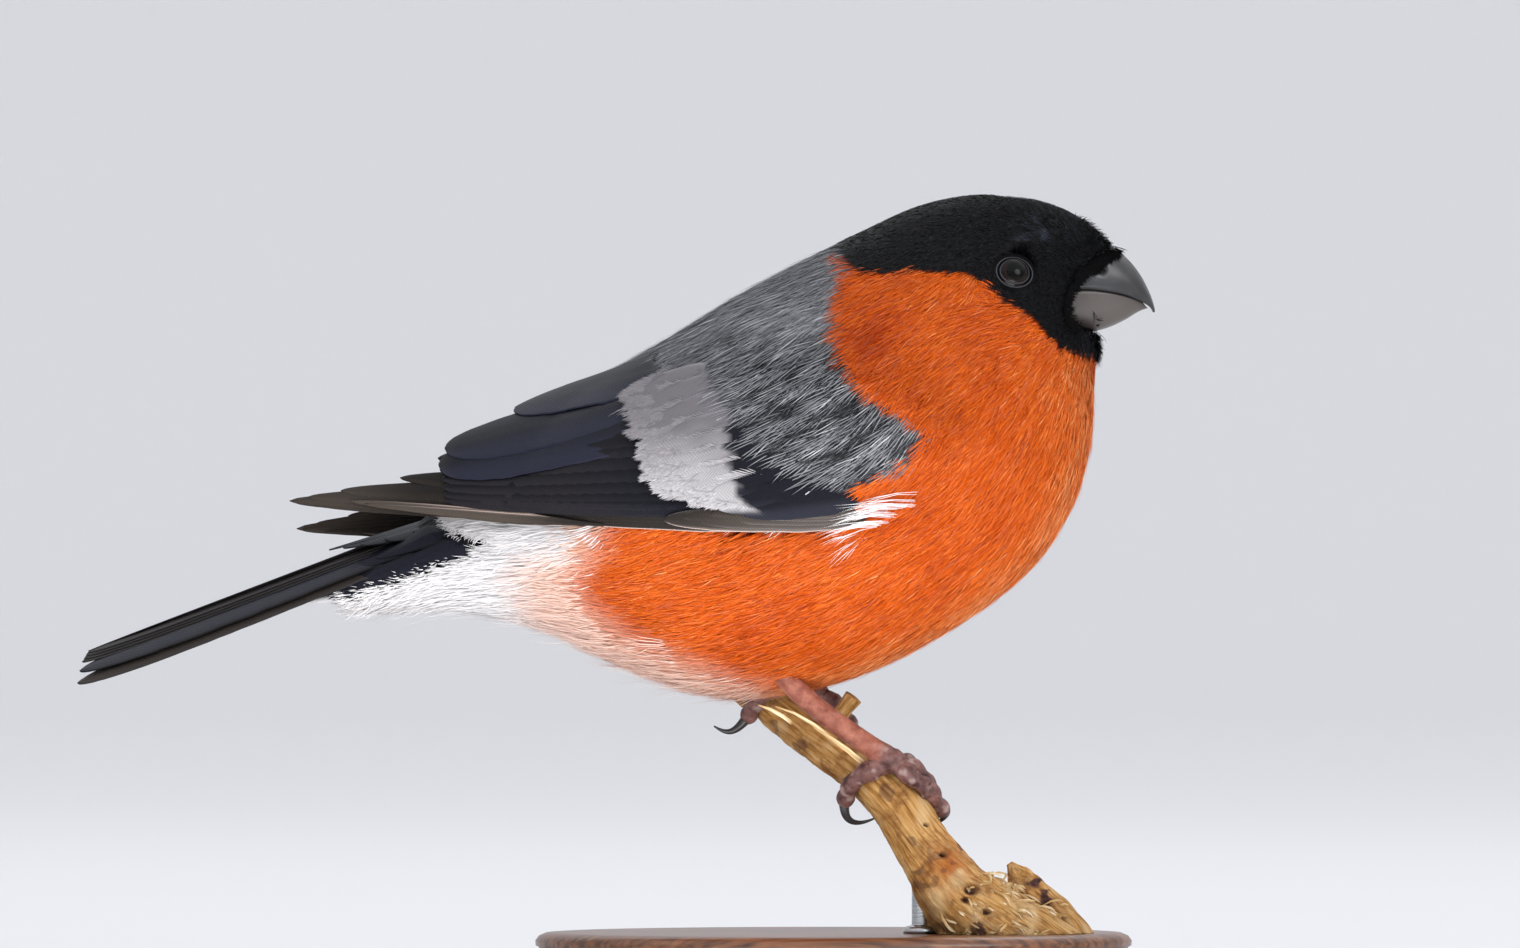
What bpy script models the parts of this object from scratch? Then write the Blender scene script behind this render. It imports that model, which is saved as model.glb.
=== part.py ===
"""A male bullfinch at life size, standing on a short cut branch over a flat display base.

Metres, +Z up. The bird faces +X and its right side is towards -Y. The origin is on the floor, under
the middle of the whole model. Sizes below are written in millimetres and multiplied by MM.
"""

import math

import bmesh
import bpy
from mathutils import Vector

MM = 0.001
GAP = 0.3 * MM

# The body as a row of sections, from the face to the tip of the undertail coverts. Each has the point
# on the back and the point on the belly in the side view (x, z), the half width, and how far down from
# the back its widest level lies.
SECTIONS = (
    ("face", (70.6, 106.6), (68.4, 95.0), 3.2, 0.50),
    ("brow", (67.2, 110.3), (68.9, 92.0), 5.2, 0.52),
    ("eye", (60.6, 113.5), (68.4, 89.6), 7.4, 0.56),
    ("crown", (52.0, 114.3), (68.1, 86.8), 9.7, 0.58),
    ("hind_crown", (43.6, 112.8), (68.0, 83.8), 12.0, 0.58),
    ("nape", (35.6, 109.3), (67.8, 80.2), 14.6, 0.56),
    ("neck", (27.2, 105.2), (66.9, 75.4), 18.0, 0.54),
    ("shoulders", (17.5, 100.0), (64.6, 68.9), 21.4, 0.52),
    ("breast", (7.5, 93.9), (58.6, 60.4), 23.8, 0.51),
    ("middle", (-2.0, 88.5), (47.6, 52.2), 24.8, 0.50),
    ("belly", (-9.8, 84.2), (33.2, 45.2), 24.4, 0.50),
    ("lower_belly", (-15.8, 79.6), (17.0, 42.5), 21.8, 0.50),
    ("vent", (-20.6, 75.0), (2.8, 46.4), 17.4, 0.50),
    ("crissum", (-25.2, 70.2), (-9.6, 52.2), 12.6, 0.50),
    ("undertail", (-31.4, 65.2), (-22.0, 55.2), 8.6, 0.50),
    ("undertail_end", (-40.5, 60.4), (-34.5, 54.9), 5.2, 0.50),
    ("undertail_tip", (-45.2, 57.2), (-43.4, 55.0), 2.0, 0.50),
)
SQUARENESS = 2.15
BODY_AROUND = 32
BODY_ROWS_PER_SECTION = 2
NECK_AT, MANTLE_AT, TAIL_AT = 4.35, 6.4, 12.75

EYE_AT = (56.7, 103.1)
EYE_RADIUS, EYE_SUNK = 2.75, 1.72
LID_RADIUS, LID_THICK = 2.42, 0.42

# The folded wing lies on a roof-like shell over the body and the rump. For each place along X: the
# height of the shell's lower centre, the rise from there to the ridge, and the half width.
WING_SHELL = (
    (-50.0, 61.0, 15.0, 5.6),
    (-40.0, 62.5, 15.0, 8.4),
    (-30.0, 64.0, 15.2, 12.4),
    (-20.0, 65.0, 17.0, 16.6),
    (-10.0, 65.6, 20.2, 20.6),
    (0.0, 66.2, 23.7, 24.0),
    (10.0, 66.8, 28.9, 26.0),
    (20.0, 67.5, 34.4, 26.4),
    (30.0, 68.0, 38.9, 25.6),
    (40.0, 69.0, 42.6, 23.4),
    (50.0, 70.0, 44.0, 17.0),
)
WING_STAND = 3.4
FEATHER_THICK = 0.55
RIDGE_CLEAR = 0.45
FAR_WING_DROOP = math.radians(2.7)
SHOULDER = (38.0, 84.0)

# The pad of flesh and small coverts that the feathers grow from: its root, tip, half width, depth at
# both ends, and its shape.
PAD_LINE = ((2.0, 78.0), (48.6, 80.4), 12.0, (-3.3, -2.9))
PAD_SHAPE = {"rows": 8, "roundness": 2.6, "thick": 2.9, "stem": 0.3, "columns": 4, "flat": 0.75}

# The tiers of the wing from within outwards: the count of feathers, the lines that their roots and tips
# follow in the side view, the first and last half width, and the depth from the shell at root and tip of
# the first and the last feather.
WING_TIERS = (
    ("primaries", 6, ((24.0, 72.0), (31.0, 67.3)),
     ((-28.0, 74.4), (-36.5, 72.6), (-44.5, 71.2), (-46.8, 70.7), (-43.0, 70.0)),
     (2.6, 1.9), ((-0.95, -1.2), (-1.55, -2.2)), {"rows": 5, "roundness": 2.6, "columns": 1}),
    ("secondaries", 4, ((16.0, 80.0), (22.0, 70.8)), ((-25.0, 76.0), (-24.2, 71.0)),
     (3.1, 2.9), ((-0.7, -0.5), (-1.15, -1.05)), {"roundness": 4.0, "columns": 1}),
    ("tertials", 3, ((8.0, 90.0), (9.0, 83.5)), ((-14.6, 83.4), (-20.6, 80.6), (-25.6, 76.2)),
     (3.6, 4.4), ((-0.65, -0.05), (-0.8, -0.35)), {"roundness": 4.0}),
    ("primary_coverts", 3, ((35.0, 69.9), (36.0, 68.2)), ((20.0, 69.6), (6.9, 68.0)),
     (1.7, 2.0), ((-0.8, -0.35), (-1.0, -0.6)), {"rows": 3, "columns": 1}),
    ("greater_coverts", 7, ((14.5, 88.5), (24.0, 79.0), (36.0, 71.6)),
     ((1.6, 85.5), (3.4, 78.0), (6.4, 72.4), (17.6, 69.2)),
     (3.4, 2.4), ((-0.7, 0.2), (-0.8, 0.0)), {}),
    ("median_coverts", 5, ((21.0, 92.0), (38.5, 75.5)),
     ((8.0, 83.6), (15.5, 79.0), (24.0, 75.6), (33.0, 72.6)),
     (3.5, 2.6), ((-0.9, 0.45), (-0.95, 0.25)), {}),
    ("scapulars", 4, ((14.0, 96.2), (25.0, 91.5)), ((-5.6, 87.0), (0.5, 84.8), (10.0, 82.2)),
     (4.0, 4.0), ((-1.5, 0.4), (-1.3, 0.65)), {"stem": 0.3}),
)

TAIL_ROOT, TAIL_TIP = (-14.0, 73.2), (-75.9, 49.2)
TAIL_PAIRS, TAIL_SPREAD, TAIL_STEP_DOWN = 6, 1.15, 0.32
TAIL_ROOT_X, TAIL_END_X, TAIL_NOTCH = -17.0, -75.4, 0.26
TAIL_ARCH, TAIL_ROOF = 0.035, 0.12
TAIL_FEATHER_HALF_WIDTH = 2.5

# The coverts over and under the tail: how far back each reaches, how far out it lies, and the height of
# its tip over the tail, or for the lower ones over the floor.
UPPERTAIL_COVERTS = ((-40.5, 0.0, 0.1), (-37.5, 2.3, -0.05), (-33.5, 4.3, -0.2))
UNDERTAIL_COVERTS = ((-46.5, 0.0, 55.8), (-43.5, 1.9, 56.3), (-38.5, 3.6, 56.7), (-33.0, 4.6, 57.6))

# The branch as points on its axis, each with its radius. It comes down from the far side of the bird
# and is cut flat just over the base.
BRANCH = (
    ((17.6, 15.4, 45.2), 3.3),
    ((23.5, 9.6, 40.9), 3.5),
    ((29.4, 3.4, 36.6), 3.6),
    ((35.4, -2.6, 31.9), 3.7),
    ((40.5, -7.0, 26.8), 3.8),
    ((44.0, -9.0, 20.7), 4.1),
    ((48.6, -9.6, 14.4), 5.3),
    ((55.6, -9.4, 8.6), 6.3),
    ((62.6, -9.0, 3.4), 6.6),
    ((68.6, -8.6, -1.4), 6.6),
)
# What is left of side shoots on it: a broken spur low down in front, a stub by the foot and a knob.
SPUR = ((56.0, -5.2, 18.9), (58.2, -5.6, 15.6), (62.2, -6.6, 10.8), (67.6, -8.0, 4.0))
SPUR_RADII = (0.5, 2.3, 3.2, 3.4)
STUB = ((30.5, 0.5, 36.5), (31.6, -0.9, 39.7), (33.5, -1.6, 42.4))
STUB_RADII = (1.6, 1.2, 1.3)
KNOB = ((46.0, -9.4, 15.0), (45.4, -9.8, 10.6))
KNOB_RADII = (1.1, 0.9)

BASE_CENTRE, BASE_HALF_LENGTH, BASE_HALF_DEPTH, BASE_THICK = 31.0, 43.0, 31.0, 9.0
BASE_EDGE = 1.2
ROD_AT, ROD_RADIUS, ROD_TOP = (43.4, -8.8), 1.3, 24.0

BLACK, ORANGE, EYE = (0.012, 0.012, 0.016), (0.78, 0.16, 0.03), (0.01, 0.008, 0.007)
HORN, LEG, WOOD = (0.035, 0.035, 0.038), (0.20, 0.085, 0.07), (0.42, 0.27, 0.13)
TIMBER, STEEL = (0.30, 0.18, 0.10), (0.60, 0.60, 0.62)


def clear_scene():
    for obj in list(bpy.data.objects):
        bpy.data.objects.remove(obj)


def new_collection(name):
    made = bpy.data.collections.new(name)
    bpy.context.scene.collection.children.link(made)
    return made


def new_material(name, colour, roughness, metallic=0.0):
    made = bpy.data.materials.new(name)
    made.use_nodes = True
    shader = made.node_tree.nodes["Principled BSDF"]
    shader.inputs["Base Color"].default_value = (*colour, 1.0)
    shader.inputs["Roughness"].default_value = roughness
    shader.inputs["Metallic"].default_value = metallic
    return made


def mesh_object(name, points, faces):
    """A closed mesh object in the bird's collection, its faces turned outwards."""
    mesh = bpy.data.meshes.new(name)
    mesh.from_pydata([tuple(p) for p in points], [], faces)
    shell = bmesh.new()
    shell.from_mesh(mesh)
    bmesh.ops.recalc_face_normals(shell, faces=shell.faces)
    shell.to_mesh(mesh)
    shell.free()
    made = bpy.data.objects.new(name, mesh)
    MODEL.objects.link(made)
    return made


def spline(values, at):
    """The smooth value at a real position along evenly placed numbers, points or tuples of numbers."""
    last = len(values) - 1
    k = min(int(at), last - 1)
    t = at - k
    before, after = values[max(k - 1, 0)], values[min(k + 2, last)]
    start, end = values[k], values[k + 1]
    if isinstance(start, tuple):
        return tuple(blend4(p, t) for p in zip(before, start, end, after))
    return blend4((before, start, end, after), t)


def blend4(four, t):
    a, b, c, d = four
    return b + 0.5 * t * (c - a + t * (2 * a - 5 * b + 4 * c - d + t * (3 * (b - c) + d - a)))


def lerp(a, b, t):
    return a + (b - a) * t


def smooth(t):
    t = min(max(t, 0.0), 1.0)
    return t * t * (3 - 2 * t)


def loft(rings):
    """Points and faces of a skin through rings of one count, with a flat cap at each end."""
    count = len(rings[0])
    points = [p for ring in rings for p in ring]
    faces = []
    for row in range(len(rings) - 1):
        for k in range(count):
            a, b = row * count + k, row * count + (k + 1) % count
            faces.append((a, b, b + count, a + count))
    faces.append(tuple(range(count)))
    faces.append(tuple(range(len(points) - count, len(points))))
    return points, faces


def apply_modifiers(obj):
    """Puts what the modifiers make into the object's own mesh."""
    bpy.context.view_layer.update()
    graph = bpy.context.evaluated_depsgraph_get()
    mesh = bpy.data.meshes.new_from_object(obj.evaluated_get(graph))
    obj.modifiers.clear()
    obj.data = mesh


def keep_largest(obj):
    """Drops all but the largest closed surface of a mesh."""
    shell = bmesh.new()
    shell.from_mesh(obj.data)
    bmesh.ops.triangulate(shell, faces=shell.faces)
    unseen, islands = set(shell.faces), []
    while unseen:
        island, waiting = [], [unseen.pop()]
        while waiting:
            face = waiting.pop()
            island.append(face)
            for edge in face.edges:
                for near in edge.link_faces:
                    if near in unseen:
                        unseen.remove(near)
                        waiting.append(near)
        islands.append(island)

    def volume(faces):
        corners = [[v.co for v in face.verts] for face in faces]
        return abs(sum(a.dot(b.cross(c)) for a, b, c in corners))

    islands.sort(key=volume, reverse=True)
    loose = [face for island in islands[1:] for face in island]
    bmesh.ops.delete(shell, geom=loose, context="FACES")
    shell.to_mesh(obj.data)
    shell.free()


def fuse(pieces, name):
    """Joins closed mesh objects into one body."""
    first = pieces[0]
    group = new_collection("joining")
    for piece in pieces[1:]:
        MODEL.objects.unlink(piece)
        group.objects.link(piece)
    join = first.modifiers.new("join", "BOOLEAN")
    join.operation = "UNION"
    join.operand_type = "COLLECTION"
    join.collection = group
    join.solver = "MANIFOLD"
    apply_modifiers(first)
    for piece in list(group.objects):
        bpy.data.objects.remove(piece)
    bpy.data.collections.remove(group)
    first.name = name
    return first


def cut(obj, cutters):
    """Cuts the object clear of closed mesh objects, which stay as they are."""
    for cutter in cutters:
        less = obj.modifiers.new("clear", "BOOLEAN")
        less.operation = "DIFFERENCE"
        less.object = cutter
        less.solver = "MANIFOLD"
        apply_modifiers(obj)
    keep_largest(obj)


def as_cutter(obj):
    """Moves an object out of the model: it only shapes its neighbours."""
    MODEL.objects.unlink(obj)
    CUTTERS.objects.link(obj)
    obj.hide_render = True
    obj.display_type = "WIRE"
    return obj


def finish(obj, material):
    """Gives a node its material and its smooth shading."""
    obj.data.materials.clear()
    obj.data.materials.append(material)
    obj.data.shade_smooth()
    obj.data.set_sharp_from_angle(angle=math.radians(40))


def slice_off(obj, point, normal):
    """Removes what lies beyond a plane, on the side that its normal points to, and closes the cut."""
    shell = bmesh.new()
    shell.from_mesh(obj.data)
    geometry = shell.verts[:] + shell.edges[:] + shell.faces[:]
    cut_line = bmesh.ops.bisect_plane(
        shell, geom=geometry, plane_co=point, plane_no=normal, clear_outer=True
    )["geom_cut"]
    edges = [item for item in cut_line if isinstance(item, bmesh.types.BMEdge)]
    bmesh.ops.holes_fill(shell, edges=edges)
    bmesh.ops.recalc_face_normals(shell, faces=shell.faces)
    shell.to_mesh(obj.data)
    shell.free()


def into_model(obj):
    """Moves a new primitive out of the scene's own collection into the model's."""
    for holder in list(obj.users_collection):
        holder.objects.unlink(obj)
    MODEL.objects.link(obj)
    return obj


def tube(name, path, radii, bevel_resolution=2):
    """A closed mesh tube through points in millimetres, with a radius at each."""
    curve = bpy.data.curves.new(name, "CURVE")
    curve.dimensions = "3D"
    curve.bevel_depth = MM
    curve.bevel_resolution = bevel_resolution
    curve.use_fill_caps = True
    line = curve.splines.new("POLY")
    line.points.add(len(path) - 1)
    for knot, place, radius in zip(line.points, path, radii):
        knot.co = (*(Vector(place) * MM), 1.0)
        knot.radius = radius
    holder = bpy.data.objects.new(name, curve)
    MODEL.objects.link(holder)
    bpy.context.view_layer.update()
    graph = bpy.context.evaluated_depsgraph_get()
    mesh = bpy.data.meshes.new_from_object(holder.evaluated_get(graph))
    shell = bmesh.new()
    shell.from_mesh(mesh)
    bmesh.ops.remove_doubles(shell, verts=shell.verts, dist=0.01 * MM)
    bmesh.ops.recalc_face_normals(shell, faces=shell.faces)
    shell.to_mesh(mesh)
    shell.free()
    bpy.data.objects.remove(holder)
    made = bpy.data.objects.new(name, mesh)
    MODEL.objects.link(made)
    return made


def section(at):
    """Back point, belly point, half width and widest level of the body at a place along it."""
    back = Vector(spline([s[1] for s in SECTIONS], at))
    belly = Vector(spline([s[2] for s in SECTIONS], at))
    width = spline([s[3] for s in SECTIONS], at)
    level = spline([s[4] for s in SECTIONS], at)
    return back, belly, width, level


def body_point(at, angle):
    """A point of the body's surface in millimetres. Angle 0 is the back, pi the belly."""
    back, belly, width, level = section(at)
    centre = back.lerp(belly, level)
    up = math.copysign(abs(math.cos(angle)) ** (2 / SQUARENESS), math.cos(angle))
    side = math.copysign(abs(math.sin(angle)) ** (2 / SQUARENESS), math.sin(angle))
    reach = (back - centre) * up if up > 0 else (centre - belly) * up
    flat = centre + reach
    return Vector((flat.x, width * side, flat.y))


def body_mesh(name, first, last, grow=0.0):
    """The body between two places along it, grown outwards by some millimetres."""
    rows = math.ceil((last - first) * BODY_ROWS_PER_SECTION)
    step, rings = 0.02, []
    for row in range(rows + 1):
        at = lerp(first, last, row / rows)
        ring = []
        for k in range(BODY_AROUND):
            angle = 2 * math.pi * k / BODY_AROUND
            point = body_point(at, angle)
            if grow:
                low, high = max(at - step, 0.0), min(at + step, len(SECTIONS) - 1.0)
                along = body_point(high, angle) - body_point(low, angle)
                across = body_point(at, angle + step) - body_point(at, angle - step)
                point += along.cross(across).normalized() * -grow
            ring.append(point * MM)
        rings.append(ring)
    return mesh_object(name, *loft(rings))


def body_side(x, z):
    """The body's half width in millimetres at a point of the side view, 0 outside its outline."""
    place = Vector((x, z))
    low, high = 0.0, len(SECTIONS) - 1.0

    def in_front(at):
        back, belly, _, _ = section(at)
        line, offset = belly - back, place - back
        return line.x * offset.y > line.y * offset.x

    if in_front(low) or not in_front(high):
        return 0.0
    for _ in range(20):
        middle = (low + high) / 2
        low, high = (low, middle) if in_front(middle) else (middle, high)
    back, belly, width, level = section(low)
    line = belly - back
    down = (place - back).dot(line) / line.length_squared
    share = (down - level) / (level if down < level else 1 - level)
    return width * max(1 - abs(share) ** SQUARENESS, 0.0) ** (1 / SQUARENESS)


def wing_frame(x):
    """Centre height, rise and half width of the wing shell at a place along X."""
    first, last = WING_SHELL[0][0], WING_SHELL[-1][0]
    at = (x - first) / (last - first) * (len(WING_SHELL) - 1)
    at = min(max(at, 0.0), len(WING_SHELL) - 1.0)
    return spline([row[1:] for row in WING_SHELL], at)


def wing_point(x, angle):
    """A point of the left wing's shell. Angle 0 is the lower edge, pi/2 the ridge over the back."""
    low, rise, width = wing_frame(x)
    z = low + rise * math.sin(angle)
    body = body_side(x, z)
    y = max(width * math.cos(angle), body + WING_STAND * math.cos(angle) if body else 0.0)
    return Vector((x, max(y, RIDGE_CLEAR), z))


def wing_normal(x, angle):
    step = 0.05
    along = wing_point(x + 1, angle) - wing_point(x - 1, angle)
    across = wing_point(x, angle + step) - wing_point(x, angle - step)
    return across.cross(along).normalized()


def wing_angle(x, z):
    """The shell's angle at a height of the side view."""
    low, rise, _ = wing_frame(x)
    return math.asin(min(max((z - low) / rise, -0.9), 0.995))


def seat(x, z, depth):
    """The shell's angle at which a feather lying that deep shows at the height z."""
    angle = wing_angle(x, z)
    for _ in range(3):
        _, rise, width = wing_frame(x)
        outward = Vector((math.cos(angle) / width, math.sin(angle) / rise)).normalized()
        angle = wing_angle(x, z - depth * outward.y)
    return angle


def droop(place, side):
    """The far wing hangs a little lower than the near one, turned about its shoulder."""
    if side < 0:
        return place
    x, z = place[0] - SHOULDER[0], place[1] - SHOULDER[1]
    c, s = math.cos(FAR_WING_DROOP), math.sin(FAR_WING_DROOP)
    return SHOULDER[0] + c * x - s * z, SHOULDER[1] + s * x + c * z


def vane_width(share, roundness, stem):
    """A vane's width along its length: narrow at the root, full in the middle, closing at the tip."""
    opening = stem + (1 - stem) * smooth(share / 0.3)
    return max(opening * (1 - share**roundness) ** 0.5, 0.1)


def vane_mesh(place, half_width, thick, rows, roundness, stem=0.55, columns=2, flat=0.8):
    """A closed feather vane. place(share, offset) gives the inner point and the outward direction."""
    shares = [1 - (1 - k / rows) ** 1.6 for k in range(rows + 1)]
    count, points, faces = columns + 1, [], []
    for share in shares:
        width = half_width * vane_width(share, roundness, stem)
        for layer in (0, 1):
            for k in range(count):
                across = 2 * k / columns - 1
                inner, outward = place(share, width * across)
                height = thick * lerp(1.0, flat, across * across) * layer
                points.append((inner + outward * height) * MM)
    ring = list(range(count)) + list(range(2 * count - 1, count - 1, -1))
    for row in range(rows):
        start = row * 2 * count
        for k in range(len(ring)):
            a, b = start + ring[k], start + ring[(k + 1) % len(ring)]
            c, d = b + 2 * count, a + 2 * count
            # Both faces of the vane are split along the same diagonal, so that they can't cross.
            faces += [(a, b, c), (a, c, d)] if k < count else [(a, b, d), (b, c, d)]
    for start in (0, rows * 2 * count):
        for k in range(columns):
            a, b = start + k, start + k + 1
            faces.append((a, b, b + count, a + count))
    return mesh_object("vane", points, faces)


def wing_vane(side, root, tip, half_width, depth, rows=4, roundness=5.0, thick=FEATHER_THICK, **shape):
    """One feather of a folded wing, laid on the shell from root to tip, both given in the side view.

    depth is how far its inner face lies from the shell at the root and at the tip.
    """
    start, end = Vector(droop(root, side)), Vector(droop(tip, side))

    def on_line(share):
        flat, deep = start.lerp(end, share), lerp(depth[0], depth[1], smooth(1.4 * share))
        return flat.x, seat(flat.x, flat.y, deep), deep

    def place(share, offset):
        x, angle, deep = on_line(share)
        x_next, angle_next, _ = on_line(share + 0.01)
        _, rise, width = wing_frame(x)
        radius = math.hypot(rise * math.cos(angle), width * math.sin(angle))
        along = Vector((x_next - x, (angle_next - angle) * radius)).normalized()
        x += along.y * offset
        angle = min(angle - along.x * offset / radius, math.radians(88))
        normal = wing_normal(x, angle)
        point = wing_point(x, angle) + normal * deep
        point.y = max(point.y, RIDGE_CLEAR)
        point.y *= side
        return point, Vector((normal.x, normal.y * side, normal.z))

    return vane_mesh(place, half_width, thick, rows, roundness, **shape)


def tier(side, count, roots, tips, half_widths, depths, **shape):
    """A row of like feathers. Roots and tips run along smooth lines from the first to the last."""
    made = []
    for k in range(count):
        share = k / max(count - 1, 1)
        root = spline(roots, share * (len(roots) - 1))
        tip = spline(tips, share * (len(tips) - 1))
        width = lerp(*half_widths, share)
        depth = (lerp(depths[0][0], depths[1][0], share), lerp(depths[0][1], depths[1][1], share))
        made.append(wing_vane(side, root, tip, width, depth, **shape))
    return made


def wing(side, name):
    """A folded wing: its pad, then each tier of feathers from within outwards."""
    feathers = [wing_vane(side, *PAD_LINE, **PAD_SHAPE)]
    for _, count, roots, tips, half_widths, depths, shape in WING_TIERS:
        feathers += tier(side, count, roots, tips, half_widths, depths, **shape)
    made = fuse(feathers, name)
    cut(made, [GROWN_BODY])
    finish(made, BLACK_FEATHER)


def straight_vane(root, tip, half_width, outward, roundness, rows=4, arch=TAIL_ARCH, **shape):
    """One feather along a straight line, its inner face on it, bent down to both sides."""
    start, end = Vector(root), Vector(tip)
    outward = Vector(outward).normalized()
    sideways = (end - start).cross(outward).normalized()

    def place(share, offset):
        centre = start.lerp(end, share)
        return centre + sideways * offset - outward * arch * offset * offset, outward

    return vane_mesh(place, half_width, FEATHER_THICK, rows, roundness, **shape)


def tail_top(x, y):
    """Height of the folded tail's upper side, a shallow roof, and the direction out of it."""
    slope = (TAIL_ROOT[1] - TAIL_TIP[1]) / (TAIL_ROOT[0] - TAIL_TIP[0])
    z = TAIL_TIP[1] + (x - TAIL_TIP[0]) * slope - TAIL_ROOF * abs(y) - TAIL_ARCH * y * y
    lean = TAIL_ROOF * ((y > 0) - (y < 0)) + 2 * TAIL_ARCH * y
    return z, Vector((-slope, lean, 1.0))


def tail_feathers():
    """The flight feathers of the tail, each pair lying further out and lower than the last."""
    made = []
    for pair in range(TAIL_PAIRS):
        out = 0.9 + TAIL_SPREAD * pair
        for side in (-1, 1):
            deep = TAIL_STEP_DOWN * pair + (0.7 if side < 0 else 0.54)
            z_root, _ = tail_top(TAIL_ROOT_X, 0.5 * out)
            x_tip = TAIL_END_X - TAIL_NOTCH * pair
            z_tip, outward = tail_top(x_tip, side * out)
            root = (TAIL_ROOT_X, side * 0.5 * out, z_root - deep - 0.5)
            tip = (x_tip, side * out, z_tip - deep)
            made.append(straight_vane(root, tip, TAIL_FEATHER_HALF_WIDTH, outward, 7.0, columns=1))
    return made


def tail_coverts():
    """The coverts over the root of the tail and under it."""
    made = []
    for reach, out, over in UPPERTAIL_COVERTS:
        for side in (-1, 1) if out else (1,):
            z_root, _ = tail_top(-20.0, side * out)
            z_tip, outward = tail_top(reach, side * out)
            root, tip = (-20.0, side * out, z_root - 1.2), (reach, side * out * 0.9, z_tip + over)
            made.append(straight_vane(root, tip, 2.4, outward, 4.0, rows=3))
    for reach, out, z_tip in UNDERTAIL_COVERTS:
        for side in (-1, 1) if out else (1,):
            root, tip = (-15.0, side * out, 56.6 + 0.25 * out), (reach, side * out * 0.8, z_tip)
            outward = (-0.1, side * out * 0.12, -1.0)
            made.append(straight_vane(root, tip, 2.3, outward, 3.0, rows=3, arch=0.08))
    return made


def tail():
    """The tail with its root, its flight feathers and its coverts."""
    root = body_mesh("tail_root", TAIL_AT - 0.6, len(SECTIONS) - 1.0)
    made = fuse([root] + tail_feathers() + tail_coverts(), "tail")
    point, normal = cut_plane(TAIL_AT)
    slice_off(made, point - normal * GAP / 2, normal)
    keep_largest(made)
    finish(made, BLACK_FEATHER)


def cut_plane(at):
    """A point and the forward direction of the plane that parts the body at a place along it."""
    back, belly, _, _ = section(at)
    line = (belly - back).normalized()
    middle = back.lerp(belly, 0.5)
    return Vector((middle.x, 0.0, middle.y)) * MM, Vector((-line.y, 0.0, line.x))


def side_point(x, z, side, lift=0.0):
    """A point on the head's side in millimetres, and the direction out of it."""
    step = 0.4
    slope_x = (body_side(x + step, z) - body_side(x - step, z)) / (2 * step)
    slope_z = (body_side(x, z + step) - body_side(x, z - step)) / (2 * step)
    outward = Vector((-slope_x, 1.0, -slope_z)).normalized()
    point = Vector((x, body_side(x, z), z)) + outward * lift
    return Vector((point.x, side * point.y, point.z)), Vector((outward.x, side * outward.y, outward.z))


def ball(name, centre, radius, segments=16):
    """A closed sphere in the model, its centre and radius in millimetres."""
    mesh = bpy.data.meshes.new(name)
    shell = bmesh.new()
    bmesh.ops.create_uvsphere(shell, u_segments=segments, v_segments=segments // 2, radius=radius * MM)
    shell.to_mesh(mesh)
    shell.free()
    made = bpy.data.objects.new(name, mesh)
    made.location = centre * MM
    MODEL.objects.link(made)
    return made


def lid(side):
    """The ring of skin round an eye."""
    centre, outward = side_point(*EYE_AT, side, lift=0.05)
    bpy.ops.mesh.primitive_torus_add(
        major_segments=16, minor_segments=6, major_radius=LID_RADIUS * MM, minor_radius=LID_THICK * MM,
        location=centre * MM, rotation=outward.to_track_quat("Z", "Y").to_euler(),
    )
    return into_model(bpy.context.object)


# The two halves of the bill in the side view, from the root to the tip: the outer line, the cutting
# edge and the half width at each.
UPPER_BILL = (
    ((66.8, 107.4), (63.6, 100.5), 5.3),
    ((69.9, 107.0), (67.0, 100.75), 5.0),
    ((72.5, 105.4), (69.9, 100.5), 4.3),
    ((74.6, 103.0), (72.4, 100.0), 3.3),
    ((76.1, 100.2), (74.6, 99.2), 2.1),
    ((76.8, 98.2), (76.1, 98.3), 0.75),
    ((76.9, 97.5), (76.6, 97.5), 0.25),
)
LOWER_BILL = (
    ((63.6, 94.9), (63.2, 100.1), 5.1),
    ((67.4, 95.0), (66.8, 100.35), 4.8),
    ((70.2, 95.3), (69.8, 100.1), 4.05),
    ((72.6, 96.4), (72.2, 99.6), 3.0),
    ((74.6, 97.6), (74.3, 98.85), 1.8),
    ((75.9, 98.1), (75.7, 98.25), 0.6),
)


NOSTRIL_AT = (70.6, 3.3, 104.3)


def bill_half(name, stations, grow=0.0):
    """Half of the bill: rounded outside, flat along the cutting edge."""
    arc, rings = 8, []
    for (ox, oz), (ex, ez), width in stations:
        outer, edge = Vector((ox, oz)), Vector((ex, ez))
        height = (outer - edge).length
        up = (outer - edge).normalized()
        ring = []
        for k in range(arc + 1):
            angle = math.pi * k / arc
            flat = edge - up * grow + up * ((height + 2 * grow) * math.sin(angle) ** 0.8)
            ring.append(Vector((flat.x, (width + grow) * math.cos(angle), flat.y)) * MM)
        rings.append(ring)
    return mesh_object(name, *loft(rings))


def bill():
    """Both halves of the bill, the upper one with its nostrils."""
    upper, lower = bill_half("bill_upper", UPPER_BILL), bill_half("bill_lower", LOWER_BILL)
    for side in (-1, 1):
        pit = ball("nostril_pit", Vector((NOSTRIL_AT[0], side * NOSTRIL_AT[1], NOSTRIL_AT[2])), 0.5, 8)
        cut(upper, [as_cutter(pit)])
    finish(upper, HORN_MATERIAL)
    finish(lower, HORN_MATERIAL)


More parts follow.
